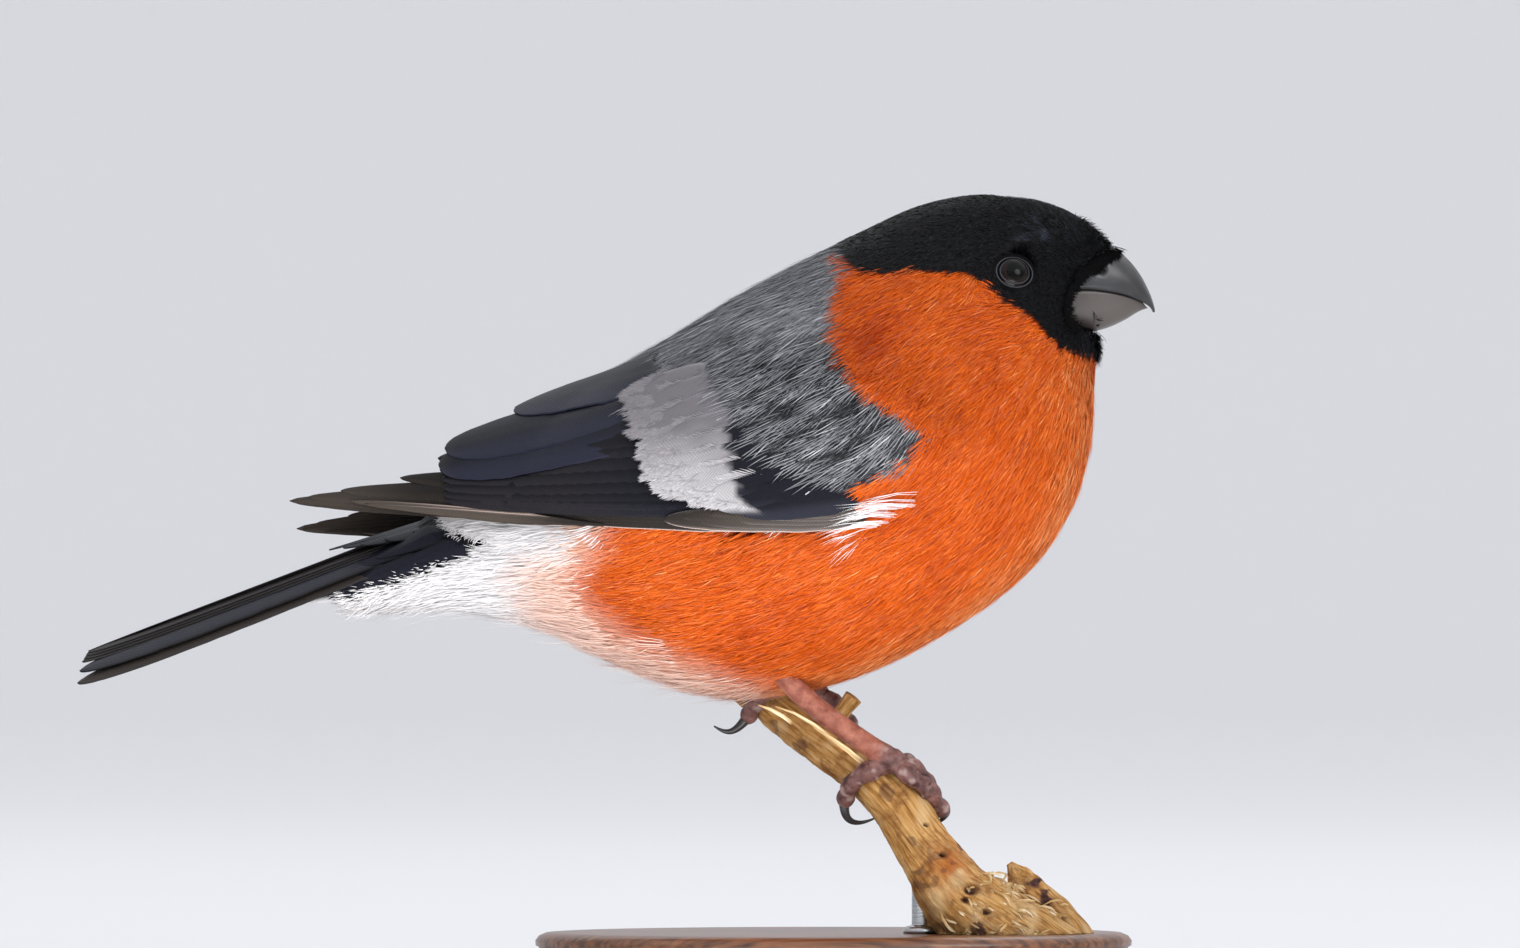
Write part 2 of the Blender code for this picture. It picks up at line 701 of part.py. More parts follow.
def parted_body():
    """The eyes, and head, neck and torso as one surface parted by thin plane cuts."""
    cutters = [as_cutter(bill_half("bill_clearance", s, 0.3)) for s in (UPPER_BILL, LOWER_BILL)]
    for side, word in ((-1, "right"), (1, "left")):
        surface, outward = side_point(*EYE_AT, side)
        centre = surface - outward * EYE_SUNK
        eye = ball("eye_" + word, centre, EYE_RADIUS, 14)
        finish(eye, EYE_MATERIAL)
        cutters.append(as_cutter(ball("eye_socket", centre, EYE_RADIUS + 0.3, 14)))
    parts = {
        "head": (0.0, NECK_AT, BLACK_FEATHER),
        "neck": (NECK_AT, MANTLE_AT, ORANGE_FEATHER),
        "torso": (MANTLE_AT, TAIL_AT, ORANGE_FEATHER),
    }
    for name, (first, last, finish_of) in parts.items():
        low, high = max(first - 0.5, 0.0), last + 0.5
        part = body_mesh(name, low, high)
        if first:
            point, normal = cut_plane(first)
            slice_off(part, point - normal * GAP / 2, normal)
        point, normal = cut_plane(last)
        slice_off(part, point + normal * GAP / 2, -normal)
        if name == "head":
            part = fuse([part, lid(-1), lid(1)], name)
            cut(part, cutters)
        if name == "torso":
            cut(part, [GROWN_BRANCH, *GROWN_LEGS.values()])
        finish(part, finish_of)


def branch_frame(at):
    """Axis point, radius and the directions along, up and forwards of the branch at a place on it."""
    point = Vector(spline([p for p, _ in BRANCH], at))
    radius = spline([r for _, r in BRANCH], at)
    along = (Vector(spline([p for p, _ in BRANCH], at + 0.05)) - point).normalized()
    up = (Vector((0, 0, 1)) - along * along.z).normalized()
    return point, radius, along, up, up.cross(along)


def branch_skin(at, angle, lift):
    """A point over the branch's bark in millimetres. Angle 0 is its top, pi/2 its forward side."""
    point, radius, _, up, forward = branch_frame(at)
    return point + (up * math.cos(angle) + forward * math.sin(angle)) * (radius + lift)


def branch_mesh(name, grow=0.0):
    """The main stem, a little uneven all round, as a closed mesh."""
    rows, around, rings = 20, 14, []
    for row in range(rows + 1):
        at = (len(BRANCH) - 1.001) * row / rows
        point, radius, _, up, forward = branch_frame(at)
        ring = []
        for k in range(around):
            angle = 2 * math.pi * k / around
            ripple = 1 + 0.04 * math.sin(3 * angle + 1.7 * at) + 0.03 * math.sin(5 * angle - 2.3 * at)
            out = up * math.cos(angle) + forward * math.sin(angle)
            ring.append((point + out * (radius * ripple + grow)) * MM)
        rings.append(ring)
    return mesh_object(name, *loft(rings))


def perch():
    """The cut branch with its broken spur, stub and knob, level with the top of the base."""
    spur = tube("spur", SPUR, SPUR_RADII, 3)
    stub = tube("stub", STUB, STUB_RADII)
    knob = tube("knob", KNOB, KNOB_RADII)
    made = fuse([branch_mesh("perch_branch"), spur, stub, knob], "perch_branch")
    slice_off(made, Vector((0, 0, BASE_THICK * MM + GAP)), Vector((0, 0, -1)))
    keep_largest(made)
    finish(made, WOOD_MATERIAL)


# Each toe by its places on the branch: how far along from the foot in branch points, the angle round
# it from the foot, and the lift over the wood in millimetres. The last place is the claw's tip.
TOES = (
    ("inner", ((0.0, 0.0, 1.7), (0.02, 0.5, 1.5), (0.06, 1.0, 1.3), (0.12, 1.6, 1.1)), (0.16, 2.6)),
    ("middle", ((0.0, 0.0, 1.7), (0.18, 0.45, 1.7), (0.36, 1.0, 1.4), (0.5, 1.65, 1.2)), (0.56, 2.75)),
    ("outer", ((0.0, 0.0, 1.7), (0.25, 0.1, 1.6), (0.56, 0.5, 1.4), (0.8, 1.1, 1.2)), (0.9, 2.15)),
    ("hind", ((0.0, 0.0, 1.7), (-0.14, -0.7, 1.5), (-0.26, -1.3, 1.4), (-0.32, -1.85, 1.4)), (0.1, -2.9)),
)
# The place of each foot along and round the branch, and the points of its shin down from the belly.
FEET = {-1: (3.55, -0.35), 1: (1.2, -0.1)}
SHINS = {-1: ((20.5, -10.4, 49.5), (28.2, -9.9, 41.4)), 1: ((17.5, 11.6, 52.6), (22.6, 8.6, 47.4))}
# The far foot's hind claw reaches back past the wood, to this tip.
FREE_CLAW, FREE_CLAW_TIP, FREE_CLAW_SAG = (1, "hind"), (13.9, 6.6, 38.3), 1.5
TOE_STEPS, CLAW_STEPS = 8, 5
TOE_RADIUS, TOE_TAPER, TOE_KNOBS = 1.22, 0.22, 0.16
SHIN_RADIUS, ANKLE_RADIUS, ANKLE_LIFT = 1.4, 1.75, 1.9
CLAW_RADIUS, CLAW_TIP_RADIUS, CLAW_ARCH = 0.78, 0.12, 1.7


def toe_path(side, places):
    """A toe's axis on the branch, with its radius at each point swelling at the joints' pads."""
    at, turn = FEET[side]
    knots = [tuple(branch_skin(at + along, turn + angle, lift)) for along, angle, lift in places]
    shares = [k / TOE_STEPS for k in range(TOE_STEPS + 1)]
    path = [Vector(spline(knots, share * (len(knots) - 1))) for share in shares]
    knobs = [TOE_KNOBS * math.cos(6 * math.pi * share) for share in shares]
    return path, [TOE_RADIUS - TOE_TAPER * share + knob for share, knob in zip(shares, knobs)]


def claw_path(side, toe, places, tip):
    """A claw's axis: an arc that stands off the wood and comes back to it at the tip."""
    at, turn = FEET[side]
    along, angle, lift = places[-1]
    path, _ = toe_path(side, places)
    away = (path[-1] - path[-2]).normalized() * 0.35
    made = []
    for k in range(CLAW_STEPS + 1):
        t = k / CLAW_STEPS
        if (side, toe) == FREE_CLAW:
            sag = Vector((0.0, 0.0, FREE_CLAW_SAG * math.sin(math.pi * t)))
            made.append(path[-1].lerp(Vector(FREE_CLAW_TIP), t) - sag)
            continue
        rise = lerp(lift, 0.4, t) + CLAW_ARCH * math.sin(math.pi * t)
        point = branch_skin(at + lerp(along, tip[0], t), turn + lerp(angle, tip[1], t), rise)
        made.append(point + away * (1 - t))
    return made


def leg_mesh(side, grow=0.0):
    """The shin and the four toes as one body. With grow it is a cutter, that much thicker."""
    at, turn = FEET[side]
    foot = branch_skin(at, turn, ANKLE_LIFT)
    pieces = [tube("shin", [*SHINS[side], foot], [SHIN_RADIUS + grow] * 3)]
    pieces.append(ball("ankle", foot, ANKLE_RADIUS + grow, 12))
    for _, places, _ in TOES:
        path, radii = toe_path(side, places)
        if grow:
            path[-1] += (path[-1] - path[-2]).normalized() * grow
        pieces.append(tube("toe", path, [radius + grow for radius in radii]))
    made = fuse(pieces, "leg")
    return as_cutter(made) if grow else made


def legs():
    """Both legs, cut clear of the branch, and their claws."""
    for side, word in ((-1, "right"), (1, "left")):
        made = leg_mesh(side)
        made.name = "leg_" + word
        cut(made, [GROWN_BRANCH])
        finish(made, LEG_MATERIAL)
        for toe, places, tip in TOES:
            shares = [(k / CLAW_STEPS) ** 0.8 for k in range(CLAW_STEPS + 1)]
            radii = [lerp(CLAW_RADIUS, CLAW_TIP_RADIUS, share) for share in shares]
            claw = tube("claw_" + word + "_" + toe, claw_path(side, toe, places, tip), radii, 1)
            cut(claw, [GROWN_BRANCH, GROWN_LEGS[side]])
            finish(claw, HORN_MATERIAL)


def stand():
    """The flat base and the rod that holds the branch."""
    bpy.ops.mesh.primitive_cylinder_add(
        vertices=36, radius=1.0, depth=BASE_THICK * MM,
        location=(BASE_CENTRE * MM, 0.0, BASE_THICK / 2 * MM),
    )
    base = into_model(bpy.context.object)
    base.name = "stand_base"
    base.scale = (BASE_HALF_LENGTH * MM, BASE_HALF_DEPTH * MM, 1.0)
    bpy.ops.object.transform_apply(location=False, rotation=False, scale=True)
    rounding = base.modifiers.new("rounding", "BEVEL")
    rounding.width = BASE_EDGE * MM
    rounding.segments = 1
    rounding.limit_method = "ANGLE"
    rounding.angle_limit = math.radians(40)
    bpy.ops.mesh.primitive_cylinder_add(
        vertices=16, radius=ROD_RADIUS * MM, depth=(ROD_TOP - BASE_THICK) * MM - GAP,
        location=(ROD_AT[0] * MM, ROD_AT[1] * MM, (ROD_TOP + BASE_THICK) / 2 * MM + GAP / 2),
    )
    rod = into_model(bpy.context.object)
    rod.name = "stand_rod"
    cut(rod, [GROWN_BRANCH])
    finish(base, TIMBER_MATERIAL)
    finish(rod, STEEL_MATERIAL)


clear_scene()
MODEL = new_collection("bullfinch")
CUTTERS = new_collection("cutters")
BLACK_FEATHER = new_material("black_feather", BLACK, 0.45)
ORANGE_FEATHER = new_material("orange_feather", ORANGE, 0.8)
HORN_MATERIAL = new_material("horn", HORN, 0.35)
EYE_MATERIAL = new_material("eye", EYE, 0.05)
LEG_MATERIAL = new_material("leg_skin", LEG, 0.55)
WOOD_MATERIAL = new_material("bare_wood", WOOD, 0.8)
TIMBER_MATERIAL = new_material("stained_timber", TIMBER, 0.4)
STEEL_MATERIAL = new_material("satin_steel", STEEL, 0.35, 1.0)

GROWN_BODY = as_cutter(body_mesh("body_clearance", 0.0, len(SECTIONS) - 1.0, grow=0.3))
GROWN_BRANCH = as_cutter(branch_mesh("branch_clearance", grow=0.3))
GROWN_LEGS = {side: leg_mesh(side, grow=0.3) for side in (-1, 1)}
bill()
parted_body()
tail()
wing(-1, "wing_right")
wing(1, "wing_left")
legs()
perch()
stand()
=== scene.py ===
"""Looks of a life-size male bullfinch on a cut perch: skin, plumage, bill, eyes, legs, wood and stand.

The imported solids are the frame. Each form is made here again, finer, in the same place. Sizes are
written in millimetres and turned to metres where a mesh is made. The bird faces +X and its right side
is towards -Y. side is -1 for its right and +1 for its left. What grows on the body is placed by "at",
which counts the body's sections from the face to the tail, and "turn", the angle round it from the back.
"""

import math

import bpy
import numpy as np
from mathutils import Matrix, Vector


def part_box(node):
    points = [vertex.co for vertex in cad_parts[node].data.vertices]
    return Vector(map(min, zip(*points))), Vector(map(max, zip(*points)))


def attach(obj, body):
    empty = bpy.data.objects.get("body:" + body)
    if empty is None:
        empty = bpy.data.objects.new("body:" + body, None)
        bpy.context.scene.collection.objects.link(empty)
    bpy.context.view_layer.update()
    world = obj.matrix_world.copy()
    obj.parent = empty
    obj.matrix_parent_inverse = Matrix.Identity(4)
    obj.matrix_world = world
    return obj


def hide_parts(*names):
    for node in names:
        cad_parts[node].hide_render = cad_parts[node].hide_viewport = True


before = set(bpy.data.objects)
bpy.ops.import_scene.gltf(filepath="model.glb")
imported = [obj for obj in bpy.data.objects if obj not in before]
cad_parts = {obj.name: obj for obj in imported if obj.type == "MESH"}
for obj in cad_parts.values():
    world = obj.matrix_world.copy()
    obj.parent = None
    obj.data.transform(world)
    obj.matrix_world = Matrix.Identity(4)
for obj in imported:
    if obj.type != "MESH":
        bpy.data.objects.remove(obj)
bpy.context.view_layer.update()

MM = 0.001
DRAW = np.random.default_rng(20)

# The body's sections as in the solids: back x and z, belly x and z, half width, and the share of the
# way down from the back at which it is widest.
SECTIONS = (
    (70.6, 106.6, 68.4, 95.0, 3.2, 0.50),
    (67.2, 110.3, 68.9, 92.0, 5.2, 0.52),
    (60.6, 113.5, 68.4, 89.6, 7.4, 0.56),
    (52.0, 114.3, 68.1, 86.8, 9.7, 0.58),
    (43.6, 112.8, 68.0, 83.8, 12.0, 0.58),
    (35.6, 109.3, 67.8, 80.2, 14.6, 0.56),
    (27.2, 105.2, 66.9, 75.4, 18.0, 0.54),
    (17.5, 100.0, 64.6, 68.9, 21.4, 0.52),
    (7.5, 93.9, 58.6, 60.4, 23.8, 0.51),
    (-2.0, 88.5, 47.6, 52.2, 24.8, 0.50),
    (-9.8, 84.2, 33.2, 45.2, 24.4, 0.50),
    (-15.8, 79.6, 17.0, 42.5, 21.8, 0.50),
    (-20.6, 75.0, 2.8, 46.4, 17.4, 0.50),
    (-25.2, 70.2, -9.6, 52.2, 12.6, 0.50),
    (-31.4, 65.2, -22.0, 55.2, 8.6, 0.50),
    (-40.5, 60.4, -34.5, 54.9, 5.2, 0.50),
    (-45.2, 57.2, -43.4, 55.0, 2.0, 0.50),
)
LAST = len(SECTIONS) - 1
SQUARENESS = 2.15

# The roof-like shell that the folded wing's feathers lie on, every 10 mm from x = -50: the height of
# its lower centre, the rise to its ridge and its half width.
WING_SHELL = (
    (61.0, 15.0, 5.6),
    (62.5, 15.0, 8.4),
    (64.0, 15.2, 12.4),
    (65.0, 17.0, 16.6),
    (65.6, 20.2, 20.6),
    (66.2, 23.7, 24.0),
    (66.8, 28.9, 26.0),
    (67.5, 34.4, 26.4),
    (68.0, 38.9, 25.6),
    (69.0, 42.6, 23.4),
    (70.0, 44.0, 17.0),
)
SHELL_START, SHELL_STEP = -50.0, 10.0
WING_STAND, RIDGE_CLEAR = 3.4, 0.45
SHOULDER, FAR_WING_DROOP = (38.0, 84.0), math.radians(2.7)

EYE_AT = (56.7, 103.1)

# Outlines in the side view of the places where the plumage changes, and of the wing's pad.
CAP = (
    (33.4, 108.0), (34.2, 105.2), (37.6, 103.6), (44.1, 104.1), (49.8, 103.9), (52.6, 102.9),
    (54.6, 100.6), (56.2, 99.3), (59.8, 97.7), (62.6, 94.3), (65.5, 92.1), (68.4, 91.6), (76.0, 90.0),
    (82.0, 100.0), (76.0, 114.0), (60.0, 122.0), (40.0, 120.0), (30.0, 114.0),
)
MANTLE = (
    (34.0, 111.0), (34.8, 103.6), (33.6, 95.0), (35.5, 88.6), (40.5, 85.0), (45.5, 81.6),
    (44.1, 78.6), (39.0, 75.0), (33.5, 71.4), (25.0, 69.5), (0.0, 69.0), (-6.0, 78.0),
    (-9.0, 84.0), (-12.0, 100.0), (0.0, 122.0), (33.0, 122.0),
)
VENT = (
    (-4.0, 66.0), (-7.4, 59.3), (-5.6, 53.6), (2.0, 47.2), (11.0, 43.8), (22.0, 40.5), (22.0, 30.0),
    (-80.0, 30.0), (-80.0, 90.0), (-30.0, 90.0), (-12.0, 100.0), (-9.0, 84.0), (-6.0, 78.0), (-3.0, 70.0),
)
TAIL_COVER = (
    (-16.6, 64.3), (-25.0, 67.6), (-21.0, 71.0), (-21.0, 90.0), (-90.0, 90.0), (-90.0, 50.0),
    (-43.8, 55.6), (-28.0, 60.2),
)
PAD = (
    (46.0, 84.5), (48.5, 80.5), (46.0, 76.0), (40.0, 71.5), (33.0, 68.5), (22.0, 67.0), (8.0, 66.5),
    (-2.0, 68.0), (-4.0, 76.0), (-2.0, 84.0), (8.0, 90.5), (18.0, 93.5), (30.0, 92.5), (40.0, 89.0),
)
UNDER_WING = (
    (4.5, 84.5), (12.0, 81.5), (18.5, 78.0), (24.5, 74.5), (32.0, 71.6), (33.0, 68.0), (20.0, 67.4),
    (0.0, 67.2), (-14.0, 67.4), (-22.0, 69.6), (-28.0, 71.0), (-28.0, 90.0), (-8.0, 99.0), (-2.0, 95.0),
    (1.5, 88.5),
)
# Where the bill's horn is bare of feathers.
BARE_BILL = (
    (72.2, 105.8), (70.4, 104.7), (69.6, 103.6), (67.6, 102.6), (66.2, 101.7), (65.2, 100.3),
    (64.8, 98.6), (64.8, 96.4), (66.2, 94.9), (70.0, 94.4), (80.0, 94.0), (80.0, 106.0),
)


def curve(table, at):
    """Smooth values along evenly placed rows of numbers, for an array of places."""
    rows = np.asarray(table, float)
    last = len(rows) - 1
    k = np.clip(np.floor(at).astype(int), 0, last - 1)
    t = (at - k)[..., None]
    a, b, c, d = (rows[np.clip(k + step, 0, last)] for step in (-1, 0, 1, 2))
    return b + 0.5 * t * (c - a + t * (2 * a - 5 * b + 4 * c - d + t * (3 * (b - c) + d - a)))


def smooth(value, low=0.0, high=1.0):
    """0 below low, 1 above high and an even passage between them."""
    t = np.clip((value - low) / (high - low), 0.0, 1.0)
    return t * t * (3 - 2 * t)


def mix(a, b, share):
    return a + (b - a) * share


def unit(vectors):
    return vectors / np.maximum(np.linalg.norm(vectors, axis=-1, keepdims=True), 1e-9)


def join(*parts):
    """One array of points from their x, y and z."""
    return np.stack(np.broadcast_arrays(*parts), axis=-1)


def rounded(value):
    return np.sign(value) * np.abs(value) ** (2 / SQUARENESS)


def lumps(points, size, seed=0):
    """Soft noise from -1 to 1 over points in millimetres, its lumps about size apart."""
    places = np.asarray(points, float) / size + 31.7 * (seed + 1)
    cell = np.floor(places).astype(np.int64)
    part = places - cell
    part = part * part * (3 - 2 * part)
    total = 0.0
    for corner in range(8):
        offset = np.array([corner & 1, corner >> 1 & 1, corner >> 2 & 1])
        key = (cell + offset) @ np.array([374761393, 668265263, 1274126177]) + seed * 97
        key = (key ^ (key >> 13)) * 1274126177
        key = (key ^ (key >> 16)) & 0xFFFF
        weight = np.prod(np.where(offset, part, 1 - part), axis=-1)
        total = total + weight * (key / 32767.5 - 1)
    return total


def inside(x, z, outline):
    """Distance from the edge of an outline in the side view, positive inside it."""
    start = np.asarray(outline, float)
    end = np.roll(start, -1, axis=0)
    step = end - start
    px, pz = np.asarray(x)[..., None], np.asarray(z)[..., None]
    share = ((px - start[:, 0]) * step[:, 0] + (pz - start[:, 1]) * step[:, 1]) / (step**2).sum(1)
    share = np.clip(share, 0, 1)
    away = np.hypot(px - start[:, 0] - share * step[:, 0], pz - start[:, 1] - share * step[:, 1]).min(-1)
    level = (start[:, 1] > pz) != (end[:, 1] > pz)
    rise = np.where(step[:, 1] == 0, 1.0, step[:, 1])
    crossed = level & (px < start[:, 0] + step[:, 0] * (pz - start[:, 1]) / rise)
    return np.where(crossed.sum(-1) % 2 == 1, away, -away)


def body(at, turn):
    """Points of the bird's outline, out to the tips of its coat."""
    back_x, back_z, belly_x, belly_z, wide, level = np.moveaxis(curve(SECTIONS, at), -1, 0)
    up, out = rounded(np.cos(turn)), rounded(np.sin(turn))
    down = np.where(up > 0, level * (1 - up), level - (1 - level) * up)
    return join(mix(back_x, belly_x, down), wide * out, mix(back_z, belly_z, down))


def body_side(x, z):
    """The body's half width at points of the side view, 0 outside its outline."""
    low, high = np.zeros(np.shape(x)), np.full(np.shape(x), float(LAST))

    def in_front(at):
        back_x, back_z, belly_x, belly_z = np.moveaxis(curve(SECTIONS, at), -1, 0)[:4]
        return (belly_x - back_x) * (z - back_z) > (belly_z - back_z) * (x - back_x)

    outside = in_front(low) | ~in_front(high)
    for _ in range(18):
        middle = (low + high) / 2
        ahead = in_front(middle)
        low, high = np.where(ahead, low, middle), np.where(ahead, middle, high)
    back_x, back_z, belly_x, belly_z, wide, level = np.moveaxis(curve(SECTIONS, low), -1, 0)
    line_x, line_z = belly_x - back_x, belly_z - back_z
    down = ((x - back_x) * line_x + (z - back_z) * line_z) / (line_x**2 + line_z**2)
    share = (down - level) / np.where(down < level, level, 1 - level)
    half = wide * np.maximum(1 - np.abs(share) ** SQUARENESS, 0.0) ** (1 / SQUARENESS)
    return np.where(outside, 0.0, half)


def wing_frame(x):
    """Lower centre, rise and half width of the wing's shell at places along X."""
    at = np.clip((np.asarray(x) - SHELL_START) / SHELL_STEP, 0, len(WING_SHELL) - 1)
    return np.moveaxis(curve(WING_SHELL, at), -1, 0)


def shell_angle(x, z):
    low, rise, _ = wing_frame(x)
    return np.arcsin(np.clip((z - low) / rise, -0.9, 0.995))


def surface(at, turn):
    """The outline with the folded wings' pads under it, so that the coat runs over both."""
    points = body(at, turn)
    x, y, z = np.moveaxis(points, -1, 0)
    points[..., 1] = np.sign(y) * over_pad(x, z, np.abs(y))
    return points


def over_pad(x, z, half):
    """The half width of the bird with its folded wings' pads, where the body alone has this one."""
    angle = shell_angle(x, z)
    shell = np.maximum(wing_frame(x)[2] * np.cos(angle), half + WING_STAND * np.cos(angle))
    cover = smooth(inside(x, z, PAD), -3.5, 4.0) * smooth(half, 4.0, 10.0)
    return mix(half, shell, cover)


def surface_frame(at, turn, step=0.01):
    """Point, backward and sideways steps per unit of at and turn, and the direction out."""
    backward = (surface(at + step, turn) - surface(at - step, turn)) / (2 * step)
    sideways = (surface(at, turn + step) - surface(at, turn - step)) / (2 * step)
    return surface(at, turn), backward, sideways, unit(np.cross(sideways, backward))


# Meshes from arrays.
def grid_faces(rows, columns, closed=False):
    """Corner numbers of the quads between rows of points."""
    across = columns if closed else columns - 1
    a = (np.arange(rows - 1)[:, None] * columns + np.arange(across)).ravel()
    b = (np.arange(rows - 1)[:, None] * columns + (np.arange(across) + 1) % columns).ravel()
    return np.stack([a, b, b + columns, a + columns], axis=1)


def loft_faces(rows, columns):
    """Quads of a closed tube of rings and a face over each end, as a list of arrays."""
    first = np.arange(columns)[None, ::-1]
    return [grid_faces(rows, columns, closed=True), first, first[:, ::-1] + (rows - 1) * columns]


def add_values(mesh, values):
    """Numbers, or vectors where there are three a point, that the materials read."""
    for name, numbers in values.items():
        flat = np.ascontiguousarray(numbers, np.float32).ravel()
        vectors = flat.size == 3 * len(mesh.vertices)
        made = mesh.attributes.new(name, "FLOAT_VECTOR" if vectors else "FLOAT", "POINT")
        made.data.foreach_set("vector" if vectors else "value", flat)


def make_piece(name, points, faces, material, replaces=(), slot=None, uv=None, **values):
    """A smooth mesh piece from points in millimetres, its faces as arrays of corner numbers."""
    flat = np.asarray(points, float).reshape(-1, 3) * MM
    corners = np.concatenate([np.asarray(group).ravel() for group in faces])
    sizes = np.concatenate([np.full(len(group), np.asarray(group).shape[1]) for group in faces])
    mesh = bpy.data.meshes.new(name)
    mesh.vertices.add(len(flat))
    mesh.vertices.foreach_set("co", flat.astype(np.float32).ravel())
    mesh.loops.add(len(corners))
    mesh.loops.foreach_set("vertex_index", corners.astype(np.int32))
    mesh.polygons.add(len(sizes))
    mesh.polygons.foreach_set("loop_start", (np.cumsum(sizes) - sizes).astype(np.int32))
    if uv is not None:
        layer = mesh.uv_layers.new(name="OFBake", do_init=False)
        layer.uv.foreach_set("vector", np.asarray(uv, np.float32).reshape(-1, 2)[corners].ravel())
    add_values(mesh, values)
    mesh.update(calc_edges=True)
    mesh.shade_smooth()
    mesh.materials.append(material)
    piece = bpy.data.objects.new(name, mesh)
    bpy.context.scene.collection.objects.link(piece)
    return placed(piece, replaces)


def placed(piece, replaces=()):
    """Sets a piece on the model's one body, in the place of the solids that it stands for."""
    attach(piece, "root")
    if replaces:
        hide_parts(*replaces)
    return piece


# Materials.
def srgb(code, alpha=1.0):
    """Linear colour of a hex value."""
    parts = [int(code[k:k + 2], 16) / 255 for k in (1, 3, 5)]
    linear = [c / 12.92 if c <= 0.04045 else ((c + 0.055) / 1.055) ** 2.4 for c in parts]
    return (*linear, alpha)


def add(tree, kind, inputs=None, stops=None, **settings):
    """Adds a node. A socket among its inputs is linked, anything else is set as the value."""
    made = tree.nodes.new("ShaderNode" + kind)
    for name, value in settings.items():
        setattr(made, name, value)
    for name, value in (inputs or {}).items():
        if isinstance(value, bpy.types.NodeSocket):
            tree.links.new(value, made.inputs[name])
        else:
            made.inputs[name].default_value = value
    for k, (place, colour) in enumerate(stops or ()):
        stop = made.color_ramp.elements[k] if k < 2 else made.color_ramp.elements.new(place)
        stop.position, stop.color = place, srgb(colour)
    return made


def new_material(name, **values):
    """A Principled material with set values, its node tree and its shader."""
    made = bpy.data.materials.new(name)
    made.use_nodes = True
    shader = made.node_tree.nodes["Principled BSDF"]
    for socket, value in values.items():
        shader.inputs[socket.replace("_", " ")].default_value = value
    return made, made.node_tree, shader


def blended(tree, share, a, b, kind="MIX"):
    """Colour between two colours or sockets."""
    made = add(tree, "Mix", {0: share, 6: a, 7: b}, data_type="RGBA", blend_type=kind)
    return made.outputs[2]


def value_of(tree, name):
    return add(tree, "Attribute", attribute_name=name).outputs["Fac"]


def plumage(name, tones, root, pale, roughness, sheen=0.0, specular=0.3):
    """Soft contour feathers: keratin barbs without gloss, each barb its own tone, drawn to the root colour near its
    root as painted shade.
    """
    made, tree, shader = new_material(name, Roughness=roughness, Sheen_Weight=sheen,
                                      Sheen_Roughness=0.4, Specular_IOR_Level=specular)
    tone = add(tree, "ValToRGB", {0: value_of(tree, "tone")}, stops=tones)
    # Painted shade: each barb is drawn to the root colour over the inner 55 percent of its length.
    root_shade = add(tree, "MapRange", {0: value_of(tree, "along"), 1: 0.0, 2: 0.55, 3: 1.0, 4: 0.0})
    colour = blended(tree, root_shade.outputs[0], tone.outputs[0], srgb(root))
    colour = blended(tree, value_of(tree, "pale"), colour, srgb(pale))
    tree.links.new(colour, shader.inputs["Base Color"])
    return made


# The second colour of each plumage is the painted shade at its barbs' roots.
CAP_COAT = plumage(
    "black_cap_feather",
    # The bluish top tone is painted sheen, reached mostly in the spots on the brow.
    ((0.0, "#020203"), (0.5, "#070709"), (0.8, "#15161c"), (1.0, "#3a3d4a")), "#020203", "#3a3a44", 0.42,
    specular=0.16,
)
ORANGE_COAT = plumage(
    "orange_breast_feather",
    ((0.0, "#a63604"), (0.4, "#d2570b"), (0.75, "#e27022"), (1.0, "#f4a86c")),
    "#8a2f05", "#f6d8c4", 0.7, specular=0.10,
)
GREY_COAT = plumage(
    "grey_mantle_feather",
    ((0.0, "#1d1e21"), (0.4, "#6b6c70"), (0.7, "#909195"), (1.0, "#c6c7ca")),
    "#26272a", "#b4afb2", 0.7, specular=0.15,
)
WHITE_COAT = plumage(
    "white_vent_feather",
    ((0.0, "#dcdadb"), (0.4, "#efedee"), (1.0, "#fbfafa")), "#dddbdc", "#f4b48e", 0.75, specular=0.12,
)


def skin_material():
    """Bird skin under the coat, dull, in the colour of what grows on it."""
    made, tree, shader = new_material("bird_skin", Roughness=0.8, Specular_IOR_Level=0.08)
    colour = blended(tree, value_of(tree, "grey"), srgb("#9a3406"), srgb("#2c2d31"))
    colour = blended(tree, value_of(tree, "white"), colour, srgb("#e2e0e1"))
    colour = blended(tree, value_of(tree, "black"), colour, srgb("#020203"))
    tree.links.new(colour, shader.inputs["Base Color"])
    return made


def markings(x, z):
    """How far inside each marking a point of the side view is, in millimetres."""
    return {
        "cap": inside(x, z, CAP),
        "tail": inside(x, z, TAIL_COVER),
        "grey": inside(x, z, MANTLE),
        "white": inside(x, z, VENT),
    }


def make_skin():
    """One skin over head, neck, body and the root of the tail, under the coat's depth."""
    rows, around = 260, 128
    at, turn = np.meshgrid(np.linspace(0, LAST, rows), np.arange(around) / around * 2 * np.pi, indexing="ij")
    point, _, _, out = surface_frame(at, turn)
    depth = mix(0.75, 1.5, smooth(at, 2.0, 6.0)) * mix(1.0, 0.6, smooth(at, 13.0, 16.0))
    x, _, z = np.moveaxis(point, -1, 0)
    marks = markings(x, z)
    uv = join(turn / (2 * np.pi), at / LAST)
    points = point - out * depth[..., None]
    points[..., 1] *= 1 - 0.5 * smooth(inside(x, z, BARE_BILL), -0.9, 0.0)
    make_piece(
        "skin", points, loft_faces(rows, around), skin_material(),
        replaces=("head", "neck", "torso", "tail"), slot="orange_feather", uv=uv,
        grey=smooth(marks["grey"], -1, 1), white=smooth(marks["white"], -6, 1),
        black=smooth(np.maximum(marks["cap"], marks["tail"]), -1, 1),
    )


# Coat. A tuft is a small feather of a few flat, tapered barbs that fan out from one root.
STATIONS = np.array([0.0, 0.35, 0.7, 1.0])
FULLNESS = np.array([0.6, 1.0, 0.8])
MOST_BARBS = 39000

